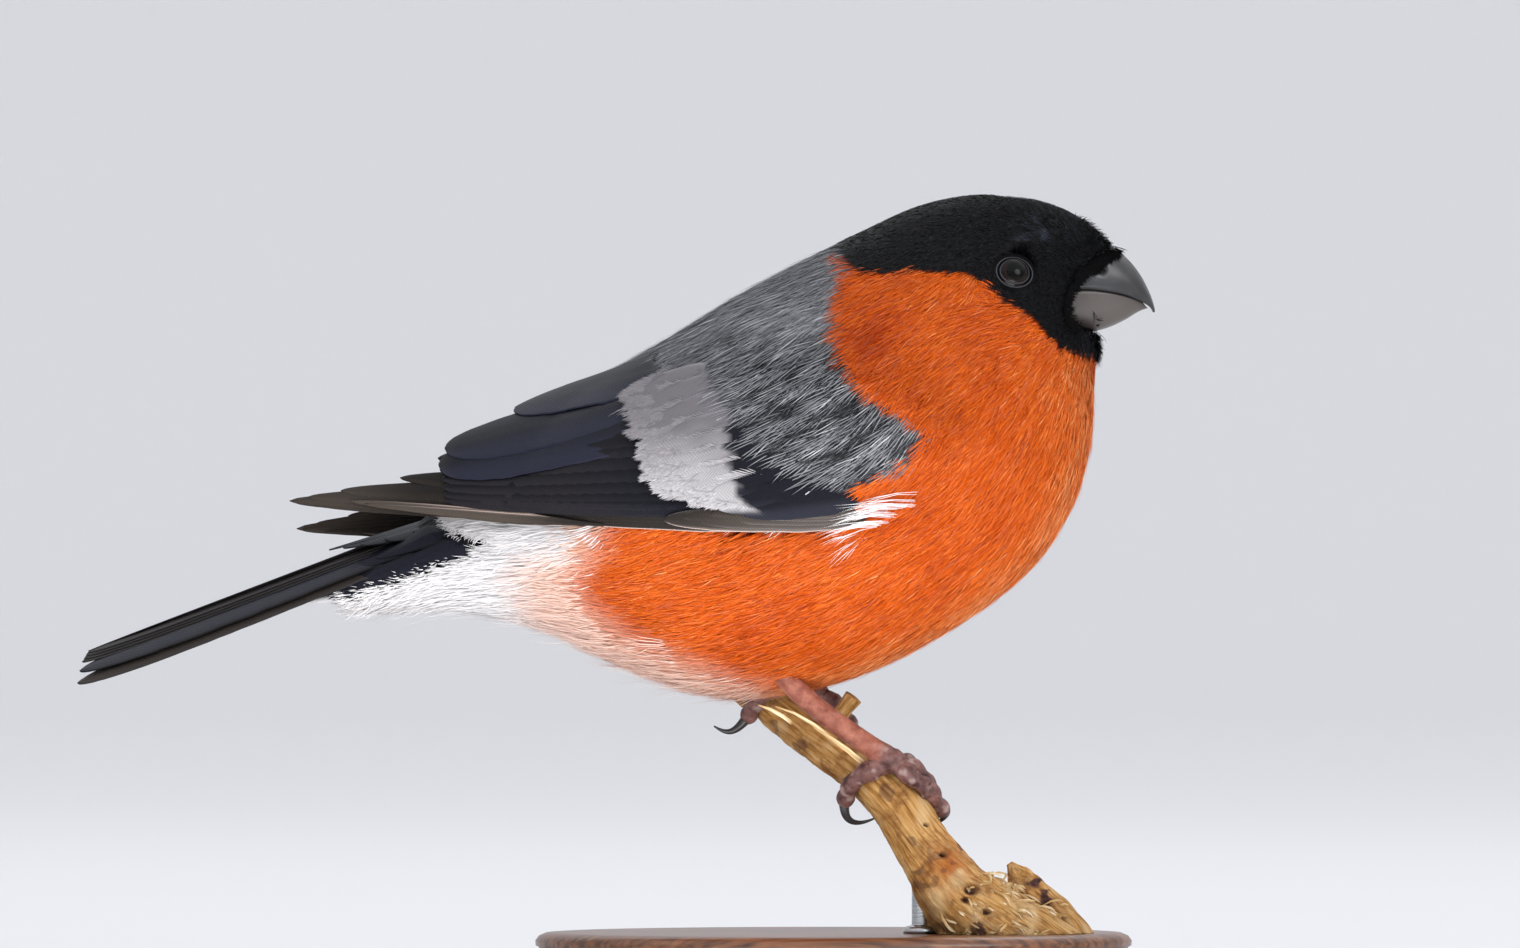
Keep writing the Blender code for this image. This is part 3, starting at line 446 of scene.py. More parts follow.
# For each plumage: length, half the spread of the tips, half the width of a barb, barbs in a tuft, how
# deep the root lies, how far the tip stands out, how unevenly the barbs fan, how far they roll in
# degrees, and tufts on a square millimetre.
STYLES = {
    "cap": (2.4, 0.60, 0.070, 5, 0.75, 0.04, 0.12, 16, 5.4),
    "orange": (4.6, 1.15, 0.080, 7, 1.1, 0.10, 0.12, 14, 2.2),
    "grey": (4.2, 1.30, 0.090, 7, 1.1, 0.02, 0.10, 10, 1.9),
    "white": (6.0, 1.70, 0.085, 7, 1.2, 0.35, 0.12, 7, 2.0),
    "tail": (4.0, 1.30, 0.110, 6, 0.8, 0.00, 0.10, 10, 1.2),
}
# Larger, clearer tufts over those, whose barbs show one by one.
FANS = {
    "orange": (6.2, 1.60, 0.065, 9, 0.5, 0.22, 0.06, 10, 0.22),
    "grey": (7.0, 1.70, 0.090, 8, 0.5, 0.18, 0.010, 5, 0.16),
    "white": (8.0, 2.00, 0.060, 9, 0.6, 0.80, 0.12, 8, 0.16),
}
COATS = {"cap": CAP_COAT, "orange": ORANGE_COAT, "grey": GREY_COAT, "white": WHITE_COAT, "tail": CAP_COAT}
SLOTS = {"cap": "black_feather", "orange": "orange_feather", "tail": "black_feather"}


def ribbons(centre, edge, half):
    """Points of flat barbs from their middle lines: three pairs and a tip each."""
    wide = edge[..., None, :] * half[..., None, None] * FULLNESS[:, None]
    pairs = np.stack([centre[..., :3, :] - wide, centre[..., :3, :] + wide], axis=-2)
    pairs = pairs.reshape(*centre.shape[:-2], 6, 3)
    return np.concatenate([pairs, centre[..., 3:, :]], axis=-2).reshape(-1, 3)


def ribbon_faces(count):
    first = np.arange(count)[:, None] * 7
    quads = (first[:, :, None] + np.array([[0, 1, 3, 2], [2, 3, 5, 4]])).reshape(-1, 4)
    return [quads, first + np.array([4, 5, 6])]


def coat_piece(name, centre, edge, half, tone, pale, home, material, slot=None):
    """A joined mesh of tufts. centre is (tufts, barbs, 4, 3) and home is each tuft's place on the map."""
    tufts, barbs = tone.shape
    low, high = home.min(0), home.max(0)
    spot = 0.02 + 0.96 * (home - low) / np.maximum(high - low, 1e-6)
    across = np.linspace(-1, 1, barbs)[None, :, None] * np.ones((tufts, 1, 7))
    sides = np.array([-0.1, 0.1, -0.1, 0.1, -0.1, 0.1, 0.0])
    along = np.repeat(STATIONS, 2)[:7] * np.ones((tufts, barbs, 7))
    local = np.stack([(across + sides) * 0.0015, (along - 0.5) * 0.003], axis=-1)
    every = np.ones((tufts, barbs, 7))
    return make_piece(
        name, ribbons(centre, edge, half), ribbon_faces(tufts * barbs), material, slot=slot,
        uv=spot[:, None, None, :] + local, tone=tone[..., None] * every,
        pale=pale[..., None] * every, along=along,
    )


def scatter(density):
    """Even places over the body, as arrays of at and turn, closer where the density is higher."""
    rows, columns = 480, 480
    at = (np.arange(rows) + 0.5) / rows * LAST
    turn = (np.arange(columns) + 0.5) / columns * 2 * np.pi
    at, turn = np.meshgrid(at, turn, indexing="ij")
    point, backward, sideways, _ = surface_frame(at, turn)
    area = np.linalg.norm(np.cross(backward, sideways), axis=-1) * (LAST / rows) * (2 * np.pi / columns)
    weight = area * density(point, at)
    whole = np.concatenate([[0.0], np.cumsum(weight.ravel())])
    by_row = whole[::columns]
    k = np.arange(int(whole[-1]))
    first, second = (0.5 + k * 0.7548776662466927) % 1, (0.5 + k * 0.5698402909980532) % 1
    target = first * whole[-1]
    row = np.clip(np.searchsorted(by_row, target, side="right") - 1, 0, rows - 1)
    in_row = (target - by_row[row]) / np.maximum(by_row[row + 1] - by_row[row], 1e-9)
    target = mix(by_row[row], by_row[row + 1], second)
    cell = np.clip(np.searchsorted(whole, target, side="right") - 1, 0, weight.size - 1)
    in_cell = (target - whole[cell]) / np.maximum(whole[cell + 1] - whole[cell], 1e-9)
    return (row + in_row) / rows * LAST, (cell % columns + in_cell) / columns * 2 * np.pi


def plumage_of(x, z, loose=0.0):
    """Name of the plumage at points of the side view. loose blurs the borders, in millimetres."""
    marks = markings(x, z)
    names = np.full(np.shape(x), "orange", dtype="<U6")
    names[marks["grey"] + 0.35 * loose > 0] = "grey"
    names[marks["white"] + 2.2 * loose > 0] = "white"
    names[marks["tail"] + 0.6 * loose > 0] = "tail"
    names[marks["cap"] + 0.25 * loose > 0] = "cap"
    return names


def coat_density(styles):
    """Tufts on a square millimetre, none where feathers of the wing or bare horn lie over the body."""
    def density(point, at):
        x, _, z = np.moveaxis(point, -1, 0)
        names = plumage_of(x, z)
        per_area = np.zeros(np.shape(x))
        for name, style in styles.items():
            per_area[names == name] = style[-1]
        per_area *= mix(1.9, 1.0, smooth(at, 2.5, 6.5))
        edge = -1.4 * smooth(x, 10.0, 18.0) * smooth(x, 38.0, 32.0)
        per_area[(inside(x, z, UNDER_WING) > edge) | (inside(x, z, BARE_BILL) > 0)] = 0.0
        per_area[at > COAT_END] = 0.0
        return per_area

    return density


def round_the_eye(x, z, backward, sideways):
    """How the coat parts round the eye as water does round a post: the turn of each tuft's direction,
    the share of its length that it keeps, and which tufts stay."""
    per_at, per_turn = np.linalg.norm(backward, axis=-1), np.linalg.norm(sideways, axis=-1)
    eye_x, eye_z = x - EYE_AT[0], z - EYE_AT[1]
    back = (eye_x * backward[:, 0] + eye_z * backward[:, 2]) / per_at
    over = (eye_x * sideways[:, 0] + eye_z * sideways[:, 2]) / np.maximum(per_turn, 1e-6)
    away = np.maximum(np.hypot(back, over), 0.5)
    near = EYE_CLEAR**2 / away**4
    spin = np.arctan2(-2 * near * back * over, np.maximum(1 - near * (back**2 - over**2), 0.15))
    before = (back < 0) & (np.abs(over) < EYE_CLEAR)
    short = np.where(before, np.clip((away - EYE_CLEAR + 0.4) / 2.5, 0.2, 1.0), 1.0)
    return spin, short, away > EYE_CLEAR


def lay_tufts(name, at, turn, style, size, short, spin, tone, pale, material, slot=None):
    """Tufts that lie on the bird's surface, each from its root at (at, turn)."""
    length, spread, half, barbs, depth, stand, loose, tilt, _ = style
    point, backward, sideways, out = surface_frame(at, turn)
    per_at, per_turn = np.linalg.norm(backward, axis=-1), np.maximum(np.linalg.norm(sideways, axis=-1), 2.0)
    tufts = len(at)
    q = np.linspace(-1, 1, barbs) + DRAW.normal(size=(tufts, barbs)) * loose
    t = STATIONS[None, None, :]
    long = (length * size * short)[:, None, None]
    start = 0.1 * (1 - np.abs(q))[..., None]
    s = long * (start + (1 - 0.25 * q[..., None] ** 2 - start) * t)
    w = (spread * size)[:, None, None] * q[..., None] * (0.12 + 0.88 * t**0.8)
    w = w + (DRAW.normal(size=(tufts, 1, 1)) * 0.5 * loose * long) * t**2
    turned = spin[:, None, None]
    back = s * np.cos(turned) - w * np.sin(turned)
    over = s * np.sin(turned) + w * np.cos(turned)
    height = -depth + (depth + stand * (1 + 0.8 * DRAW.normal(size=(tufts, barbs, 1)))) * (1 - (1 - t) ** 2)
    height = height * mix(0.7, 1.0, size)[:, None, None]
    centre = surface(at[:, None, None] + back / per_at[:, None, None],
                     turn[:, None, None] + over / per_turn[:, None, None])
    centre = centre + out[:, None, None, :] * height[..., None]
    across = unit(sideways) * np.cos(spin)[:, None] - unit(backward) * np.sin(spin)[:, None]
    roll = DRAW.normal(size=(tufts, barbs)) * np.radians(tilt)
    edge = across[:, None] * np.cos(roll)[..., None] + out[:, None] * np.sin(roll)[..., None]
    home = np.stack([turn / (2 * np.pi), at / LAST], axis=-1)
    wide = half * np.sqrt(size)[:, None] * np.ones(barbs)
    return coat_piece(name, centre, edge, wide, tone, pale, home, material, slot)


def tones(tufts, barbs, patch, stripe):
    """Each barb's tone, from its place, its turn in the row and chance."""
    row = np.where(np.arange(barbs) % 2, 0.16, -0.16) * stripe
    return np.clip(0.5 + patch[:, None] + row + DRAW.normal(size=(tufts, barbs)) * 0.15, 0, 1)


def coat(styles, word):
    """The small feathers of head and body, in pieces by plumage."""
    at, turn = scatter(coat_density(styles))
    point, backward, sideways, _ = surface_frame(at, turn)
    x, _, z = np.moveaxis(point, -1, 0)
    names = plumage_of(x, z, loose=DRAW.normal(size=len(at)))
    parting, short, kept = round_the_eye(x, z, backward, sideways)
    on_head = at < HEAD_END
    spin = np.where(on_head, parting, 0.0)
    short = np.where(on_head, short, 1.0)
    wedge = np.clip((1.0 - inside(x, z, TAIL_COVER)) / (7.0 if word == "fans" else 5.0), 0.2, 1.0)
    short = np.where(names == "white", wedge, short)
    combed = word == "fans"
    spin += np.radians(7 * lumps(point, 9.0, 1) + (1.5 if combed else 3.5) * DRAW.normal(size=len(at)))
    patch = lumps(point, 7.0, 2) * 0.10 + lumps(point, 2.2, 3) * 0.06 + shading(point, x, z, combed)
    size = mix(0.62, 1.0, smooth(at, 2.0, 6.0)) * DRAW.uniform(0.85, 1.15, len(at))
    for name, style in styles.items():
        chosen = np.flatnonzero((names == name) & (kept | ~on_head))
        chosen = chosen[np.argsort(at[chosen])]
        barbs = style[3]
        parts = math.ceil(len(chosen) * barbs / MOST_BARBS)
        for part, group in enumerate(np.array_split(chosen, parts)):
            pale = paleness(name, x[group], z[group])[:, None] + DRAW.normal(size=(len(group), barbs)) * 0.04
            lay_tufts(
                f"{word}_{name}_{part + 1}", at[group], turn[group], style, size[group], short[group],
                spin[group], tones(len(group), barbs, patch[group], STRIPE[word][name]),
                np.clip(pale, 0, 1), COATS[name], SLOTS.get(name),
            )


HEAD_END, COAT_END = 5.0, 15.2
EYE_CLEAR = 2.55
STRIPE = {
    "coat": {"cap": 0.6, "orange": 0.7, "grey": 0.8, "white": 0.2, "tail": 0.4},
    "fans": {"orange": 0.8, "grey": 0.2, "white": 0.2},
}


def shading(point, x, z, combed):
    """Painted light and shade in each tuft's tone: painted shade in the gaps under the clear pale barbs on mantle and
    shoulder, painted rim light towards the belly's midline with painted shade elsewhere, a dusky ear, a darker nape and
    a painted glossy sheen on the brow.
    """
    grey = smooth(inside(x, z, MANTLE), -0.5, 1.0)
    shoulder = smooth(x, 12.0, 24.0) * smooth(z, 98.0, 90.0) * grey
    # Painted shade: under the shoulder's fans the coat is darkened, so that the gaps between their clear pale barbs
    # look shaded; the fans themselves are a little lighter.
    clear = (0.04 * grey + 0.04 * shoulder) if combed else -0.05 * grey - 0.46 * shoulder
    # Painted rim light: the tone rises towards the midline of breast and belly, partly also the paler feathers of the
    # lower belly; off the grey everything else is painted 0.12 darker as painted shade.
    rim = smooth(np.abs(point[..., 1]), 17.0, 5.0) * smooth(z, 98.0, 88.0)
    clear = clear + (1 - grey) * (0.42 * rim - 0.12)
    ear = np.exp(-((x - 39.0) ** 2 + (z - 95.2) ** 2) / 9.0)
    brow = np.exp(-(((x - 61.5) / 5.5) ** 2 + ((z - 108.8) / 2.8) ** 2))
    cap = smooth(inside(x, z, CAP), -0.3, 0.3)
    # Painted sheen: bluish spots of gloss on the brow; the cap is also darker towards the nape.
    brow_sheen_and_dark_nape = cap * (brow * (0.22 + 0.6 * lumps(point, 0.8, 4)) - 0.12 * smooth(x, 48.0, 38.0))
    return clear - 0.34 * ear + brow_sheen_and_dark_nape


def paleness(name, x, z):
    """How far a tuft's colour is drawn to the pale one of its plumage."""
    if name == "orange":
        return smooth(-inside(x, z, VENT), 8.0, -1.0) * 0.85
    if name == "grey":
        return smooth(x, 16.0, 2.0) * smooth(z, 92.0, 82.0) * 0.8
    if name == "white":
        return smooth(inside(x, z, VENT), 7.0, 0.0) * 0.55 * smooth(z, 66.0, 60.0)
    return np.zeros(np.shape(x))



# Flight feathers and their coverts, as closed thin vanes with a shaft.
ACROSS = np.array([-1.0, -0.92, -0.72, -0.45, -0.2, 0.0, 0.25, 0.5, 0.75, 0.93, 1.0])
VANE_THICK = 0.10

# The tiers of a wing: name, count, root line, tip line, first and last half width, depth under the shell
# at root and tip of the first and of the last feather, roundness of the tip, width at the root, and how
# deep the root dips under what covers it.
WING_TIERS = (
    ("primaries", 8, ((24.0, 72.0), (31.0, 67.3)),
     ((-31.0, 73.8), (-39.5, 72.0), (-44.2, 71.1), (-46.4, 70.7), (-46.9, 70.55), (-46.2, 70.3),
      (-43.0, 69.9), (-38.0, 69.6)),
     (3.0, 1.9), ((-0.75, -1.0), (-1.3, -1.9)), 1.9, 0.55, 1.0),
    ("secondaries", 7, ((16.0, 81.0), (22.0, 70.8)), ((-25.4, 76.6), (-24.6, 70.8)),
     (3.1, 2.6), ((-0.45, -0.3), (-0.85, -0.8)), 3.4, 0.55, 1.0),
    ("leading_vane", 2, ((-5.0, 67.2), (-2.0, 67.1)), ((-38.0, 70.5), (-36.0, 70.0)),
     (1.0, 0.7), ((-0.9, -0.9), (-0.7, -0.7)), 2.2, 0.3, 0.6),
    ("tertials", 3, ((8.0, 90.0), (9.0, 83.5)), ((-14.2, 83.9), (-24.3, 78.0), (-25.2, 75.6)),
     (5.6, 5.4), ((-0.3, 0.35), (-0.5, -0.05)), 5.0, 0.5, 1.2),
    ("primary_coverts", 5, ((35.0, 69.9), (36.0, 68.2)), ((20.0, 69.6), (6.9, 68.0)),
     (1.7, 2.0), ((-0.5, -0.05), (-0.7, -0.3)), 4.0, 0.6, 1.8),
    ("greater_coverts", 10, ((14.5, 88.5), (24.0, 79.0), (36.0, 71.6)),
     ((1.6, 85.5), (3.4, 78.0), (6.4, 72.4), (17.6, 69.2)),
     (3.2, 2.3), ((-0.35, 0.5), (-0.45, 0.3)), 4.0, 0.55, 1.4),
)


def wing_point(x, turn):
    """Points of the left wing's shell. turn 0 is its lower edge and a quarter turn the ridge."""
    low, rise, wide = wing_frame(x)
    z = low + rise * np.sin(turn)
    half = body_side(x, z)
    y = np.maximum(wide * np.cos(turn), np.where(half > 0, half + WING_STAND * np.cos(turn), 0.0))
    return join(x, np.maximum(y, RIDGE_CLEAR), z)


def wing_normal(x, turn, step=0.05):
    backward = wing_point(x + 1, turn) - wing_point(x - 1, turn)
    upward = wing_point(x, turn + step) - wing_point(x, turn - step)
    return unit(np.cross(upward, backward))


def seat(x, z, depth):
    """The shell's angle at which a feather lying that deep shows at the height z."""
    angle = shell_angle(x, z)
    for _ in range(3):
        _, rise, wide = wing_frame(x)
        up = np.sin(angle) / rise
        angle = shell_angle(x, z - depth * up / np.hypot(np.cos(angle) / wide, up))
    return angle


def droop(place, side):
    """The far wing hangs a little lower than the near one, turned about its shoulder."""
    x, z = place[0] - SHOULDER[0], place[1] - SHOULDER[1]
    turn = FAR_WING_DROOP if side > 0 else 0.0
    c, s = math.cos(turn), math.sin(turn)
    return np.array([SHOULDER[0] + c * x - s * z, SHOULDER[1] + s * x + c * z])


def on_wing(side, root, tip, depth, dip):
    """The place on a folded wing of any point of a feather that runs from root to tip."""
    start, end = droop(root, side), droop(tip, side)

    def line(share):
        x, z = start[0] + (end[0] - start[0]) * share, start[1] + (end[1] - start[1]) * share
        deep = mix(depth[0], depth[1], smooth(1.4 * share)) - dip * (1 - smooth(share / 0.14))
        return x, seat(x, z, deep), deep

    def place(share, offset):
        x, angle, deep = line(share)
        x_next, angle_next, _ = line(share + 0.01)
        _, rise, wide = wing_frame(x)
        radius = np.hypot(rise * np.cos(angle), wide * np.sin(angle))
        along = unit(join(x_next - x, (angle_next - angle) * radius))
        at_x = x + along[..., 1] * offset
        turn = np.minimum(angle - along[..., 0] * offset / radius, math.radians(88))
        normal = wing_normal(at_x, turn)
        point = wing_point(at_x, turn) + normal * deep[..., None]
        point[..., 1] = np.maximum(point[..., 1], RIDGE_CLEAR)
        return point * (1, side, 1), normal * (1, side, 1)

    return place


def on_line(root, tip, outward, arch):
    """The place of any point of a feather along a straight line, bent down to both sides."""
    start, end = np.array(root), np.array(tip)
    outward = unit(np.array(outward))
    sideways = unit(np.cross(end - start, outward))

    def place(share, offset):
        centre = start + (end - start) * share[..., None]
        bent = centre + sideways * offset[..., None] - outward * (arch * offset**2)[..., None]
        return bent, np.broadcast_to(outward, bent.shape)

    return place


def vane(place, half_width, length, cell, rows=26, roundness=4.0, stem=0.55, camber=0.12, shaft=-0.2):
    """Points, faces and values of one feather: a thin cambered vane, its shaft a ridge along it."""
    share = 1 - (1 - np.linspace(0, 1, rows + 1)) ** 1.5
    opening = stem + (1 - stem) * smooth(share / 0.3)
    width = half_width * np.maximum(opening * np.sqrt(1 - share**roundness), 0.03)
    ragged = 1 + 0.035 * lumps(np.stack([share * length, share * 0 + cell, share * 0], -1), 0.8, 5)
    offset = width[:, None] * ragged[:, None] * ACROSS
    point, out = place(np.repeat(share[:, None], len(ACROSS), 1), offset)
    ridge = 0.10 * np.exp(-(((ACROSS - shaft) / 0.10) ** 2)) * (1 - 0.8 * share[:, None])
    crown = camber * (1 - ACROSS**2) + ridge
    upper = point + out * (crown + VANE_THICK / 2)[..., None]
    lower = (point + out * (crown - ridge - VANE_THICK / 2)[..., None])[:, ::-1]
    rings = np.concatenate([upper, lower], axis=1)
    every = np.concatenate([ACROSS, ACROSS[::-1]])
    along = np.repeat(share[:, None], 2 * len(ACROSS), 1)
    barb = along * length + 0.9 * np.abs(np.concatenate([offset, offset[:, ::-1]], axis=1))
    column, row = cell % 8, cell // 8
    u = (column + 0.04 + 0.46 * (every + 1) / 2 + np.repeat([0.0, 0.46], len(ACROSS))) / 8
    uv = join(np.broadcast_to(u, along.shape), (row + 0.04 + 0.92 * along) / 8)
    values = {"along": along, "across": np.broadcast_to(every, along.shape), "barb": barb}
    return rings, loft_faces(rows + 1, 2 * len(ACROSS)), values, uv


def merged(parts):
    """One set of points, faces, values and map places from those of several parts."""
    first, faces = 0, []
    for points, groups, _, _ in parts:
        faces += [np.asarray(group) + first for group in groups]
        first += points.size // 3
    points = np.concatenate([part[0].reshape(-1, 3) for part in parts])
    uv = np.concatenate([part[3].reshape(-1, 2) for part in parts])
    values = {name: np.concatenate([part[2][name].ravel() for part in parts]) for name in parts[0][2]}
    return points, faces, values, uv


def flight_feather_material():
    """Black vanes of keratin, satin rather than glossy: their bluish gloss mixed into the colour as painted sheen, most
    on the innermost; brown where worn, and on some feathers as painted light;
    grey to white on the bar. Fine parallel barbs run obliquely from the shaft."""
    made, tree, shader = new_material("black_flight_feather", Roughness=0.42, Specular_IOR_Level=0.11)
    # Painted sheen: the bluish gloss is mixed into the colour.
    colour = blended(tree, value_of(tree, "blue_sheen"), srgb("#09090a"), srgb("#292b3a"))
    colour = blended(tree, value_of(tree, "brown"), colour, srgb("#544b44"))
    bar = blended(tree, value_of(tree, "white"), srgb("#757175"), srgb("#b3b0b2"))
    colour = blended(tree, value_of(tree, "pale"), colour, bar)
    colour = blended(tree, value_of(tree, "rim"), colour, srgb("#ead0c4"))
    wave = add(tree, "Math", {0: value_of(tree, "barb"), 1: 2 * math.pi / BARB_SPACING}, operation="MULTIPLY")
    line = add(tree, "Math", {0: wave.outputs[0]}, operation="SINE")
    dim = add(tree, "MapRange", {0: line.outputs[0], 1: -1.0, 2: 1.0, 3: 0.80, 4: 1.0})
    shaded = add(tree, "Mix", {0: 1.0, 6: colour, 7: dim.outputs[0]}, data_type="RGBA", blend_type="MULTIPLY")
    tree.links.new(shaded.outputs[2], shader.inputs["Base Color"])
    bump = add(tree, "Bump", {"Height": line.outputs[0], "Strength": 0.3, "Distance": 0.00004})
    tree.links.new(bump.outputs[0], shader.inputs["Normal"])
    return made


# Barbs lie about 0.2 mm apart in life, drawn at 0.45 mm so that they show.
BARB_SPACING = 0.45
FLIGHT = flight_feather_material()
# Where the bar begins, seen from the side: heights, and the place along X at each.
BAR_EDGE = ((68.6, 70.0, 71.4, 72.9, 75.0, 77.1, 79.3, 84.0, 90.0),
            (21.0, 18.4, 17.0, 16.9, 15.9, 16.2, 15.5, 17.0, 19.0))


def wing_colours(tier, points, values, order):
    """Painted bluish sheen, brown wear and the pale bar of a wing's feathers, with painted light on each feather's open
    lower part and painted shade where the feather above covers it.
    """
    x, _, z = np.moveaxis(points.reshape(-1, 3), -1, 0)
    across, along = values["across"].ravel(), values["along"].ravel()
    # lit: painted light on each vane's open lower edge, fading to painted shade where the vane above overlaps it. It
    # drives the sheen and some of the brown.
    lit = smooth(across, 0.1, -0.75)
    low_edge = smooth(across, -0.90, -0.98) * smooth(along, 0.1, 0.25)
    rim = np.maximum(smooth(np.abs(across), 0.84, 0.97), smooth(along, 0.93, 0.985))
    blue_sheen, brown, pale, white, line = (np.zeros(x.shape) for _ in range(5))
    worn = smooth(x, -20.0, -30.0)
    if tier == "tertials":
        blue_sheen = 0.25 + 0.7 * lit
        brown = 0.3 * rim * worn
    if tier == "secondaries":
        # The secondaries' brown is painted light only, on the open lower edges of the rear ones.
        blue_sheen, brown = 0.12 + 0.22 * lit, 0.16 * lit * smooth(x, 10.0, -10.0)
    if tier == "primaries":
        # The primaries' brown is their own, more towards the tips, plus a little painted light from lit.
        brown = 0.12 + 0.45 * smooth(x, -26.0, -40.0) + 0.12 * lit
        line = low_edge * 0.9 * (order > 0.99)
    if tier == "leading_vane":
        brown = 0.3 + 0.7 * smooth(x, -6.0, -16.0)
        # A thin pale line along the leading vane's upper edge: partly its pale fringe, partly a painted highlight.
        line = smooth(across, 0.68, 0.92) * smooth(x, -36.0, -17.0) * smooth(x, -9.0, -13.0) * 0.8
    if tier == "greater_coverts":
        blue_sheen = 0.25 + 0.35 * lit
        edge = np.interp(z, *BAR_EDGE) + 1.1 * (1 - across**2) - 0.55
        pale = smooth(edge - x + 0.5 * lumps(points.reshape(-1, 3), 0.6, 6), -0.4, 0.9)
        white = smooth(z, 84.0, 74.0) * 0.85 + 0.15 * lumps(points.reshape(-1, 3), 2.5, 8) + 0.45 * rim - 0.15
        pale = pale * smooth(z, 68.6, 69.6)
    if tier == "primary_coverts":
        brown = 0.30 + 0.45 * smooth(x, 8.0, 24.0)
        pale = smooth(np.abs(across), 0.90, 0.98) * 0.5
        white = np.full(x.shape, 0.2)
        line = low_edge * 0.8 * (order > 0.99)
        line = line + smooth(across, 0.80, 0.95) * (order < 0.2) * smooth(x, 15.0, 18.0) * 0.6
    return {
        "blue_sheen": blue_sheen, "brown": brown, "pale": pale, "white": np.clip(white, 0, 1), "rim": np.clip(line, 0, 1),
    }


def wing(side, word):
    """The flight feathers of a folded wing and their coverts, tier by tier."""
    for tier, count, roots, tips, halves, depths, roundness, stem, dip in WING_TIERS:
        parts = []
        for k in range(count):
            share = k / (count - 1)
            root = curve(roots, np.array(share * (len(roots) - 1)))
            tip = curve(tips, np.array(share * (len(tips) - 1)))
            depth = [mix(depths[0][end], depths[1][end], share) for end in (0, 1)]
            place = on_wing(side, root, tip, depth, dip)
            half, length = mix(*halves, share), math.dist(root, tip)
            points, faces, values, uv = vane(place, half, length, k, roundness=roundness, stem=stem)
            values = {**values, **wing_colours(tier, points, values, share)}
            parts.append((points, faces, values, uv))
            if tier == "greater_coverts" and share < 0.8:
                BAR_FRINGES[side].append((place, half, length))
        points, faces, values, uv = merged(parts)
        make_piece(
            f"{tier}_{word}", points, faces, FLIGHT, replaces=("wing_" + word,), slot="black_feather",
            uv=uv, **values,
        )


BAR_FRINGES = {-1: [], 1: []}


def bar_fringes(side, word):
    """Loose pale barbs that soften the tips of the greater coverts over the wing's dark feathers."""
    centres, edges, tone, pale, home = [], [], [], [], []
    barbs = 7
    for k, (place, half, length) in enumerate(BAR_FRINGES[side]):
        tufts = 70
        q = DRAW.uniform(-1.0, 1.0, (tufts, 1)) + np.linspace(-0.1, 0.1, barbs)
        begin = 1 - 0.22 * DRAW.random((tufts, 1)) - 0.30 * np.abs(q) ** 2.5
        reach = (DRAW.uniform(0.9, 1.7, (tufts, 1)) * DRAW.uniform(0.8, 1.2, (tufts, barbs))) / length
        t = STATIONS[None, None, :]
        share = begin[..., None] + reach[..., None] * t
        offset = half * q[..., None] * (0.85 + 0.25 * t)
        point, out = place(share.reshape(-1, 1), offset.reshape(-1, 1))
        point, out = (a.reshape(tufts, barbs, len(STATIONS), 3) for a in (point, out))
        centres.append(point + out * (0.16 + 0.10 * t * (1 - t))[..., None])
        ahead = unit(centres[-1][:, :, 3] - centres[-1][:, :, 0])
        edges.append(unit(np.cross(out[:, :, 0], ahead)))
        height = point[..., 0, 2]
        white = smooth(height, 84.0, 72.0)
        tone.append(np.clip(0.10 + 0.6 * white + 0.12 * DRAW.normal(size=white.shape), 0, 1))
        home.append(np.stack([q[:, 0] * 0.04 + 0.1 * k, begin[:, 0]], axis=-1))
    tone = np.concatenate(tone)
    coat_piece(
        "bar_fringe_" + word, np.concatenate(centres), np.concatenate(edges), 0.06 * np.ones(barbs),
        tone, tone * 0.0, np.concatenate(home), BAR_COAT,
    )


BAR_COAT = plumage(
    "wing_bar_fringe",
    ((0.0, "#787478"), (0.5, "#9c989b"), (1.0, "#cac7c9")), "#878386", "#ffffff", 0.75, specular=0.10,
)


TAIL_ROOT, TAIL_TIP = (-14.0, 73.2), (-75.9, 49.2)
# Each pair of tail feathers from the middle outward: how far out it lies, how far down, and its half
# width.
TAIL_PAIRS = ((0.9, 0.0, 2.6), (1.4, 0.22, 2.6), (1.9, 0.44, 2.6), (2.4, 0.66, 2.6), (5.0, 0.86, 3.3), (6.4, 1.75, 2.8))
TAIL_ROOT_X, TAIL_END_X, TAIL_NOTCH = -17.0, -75.4, 0.26
TAIL_ARCH, TAIL_ROOF = 0.035, 0.12
UPPERTAIL_COVERTS = (
    (-41.0, 0.0, 0.45), (-39.0, 1.7, 0.3), (-36.5, 3.1, 0.2), (-33.0, 4.3, 0.05), (-29.0, 5.2, 0.0),
)


def tail_top(x, y):
    """Height of the folded tail's upper side, a shallow roof, and the direction out of it."""
    slope = (TAIL_ROOT[1] - TAIL_TIP[1]) / (TAIL_ROOT[0] - TAIL_TIP[0])
    z = TAIL_TIP[1] + (x - TAIL_TIP[0]) * slope - TAIL_ROOF * abs(y) - TAIL_ARCH * y * y
    return z, (-slope, TAIL_ROOF * np.sign(y) + 2 * TAIL_ARCH * y, 1.0)


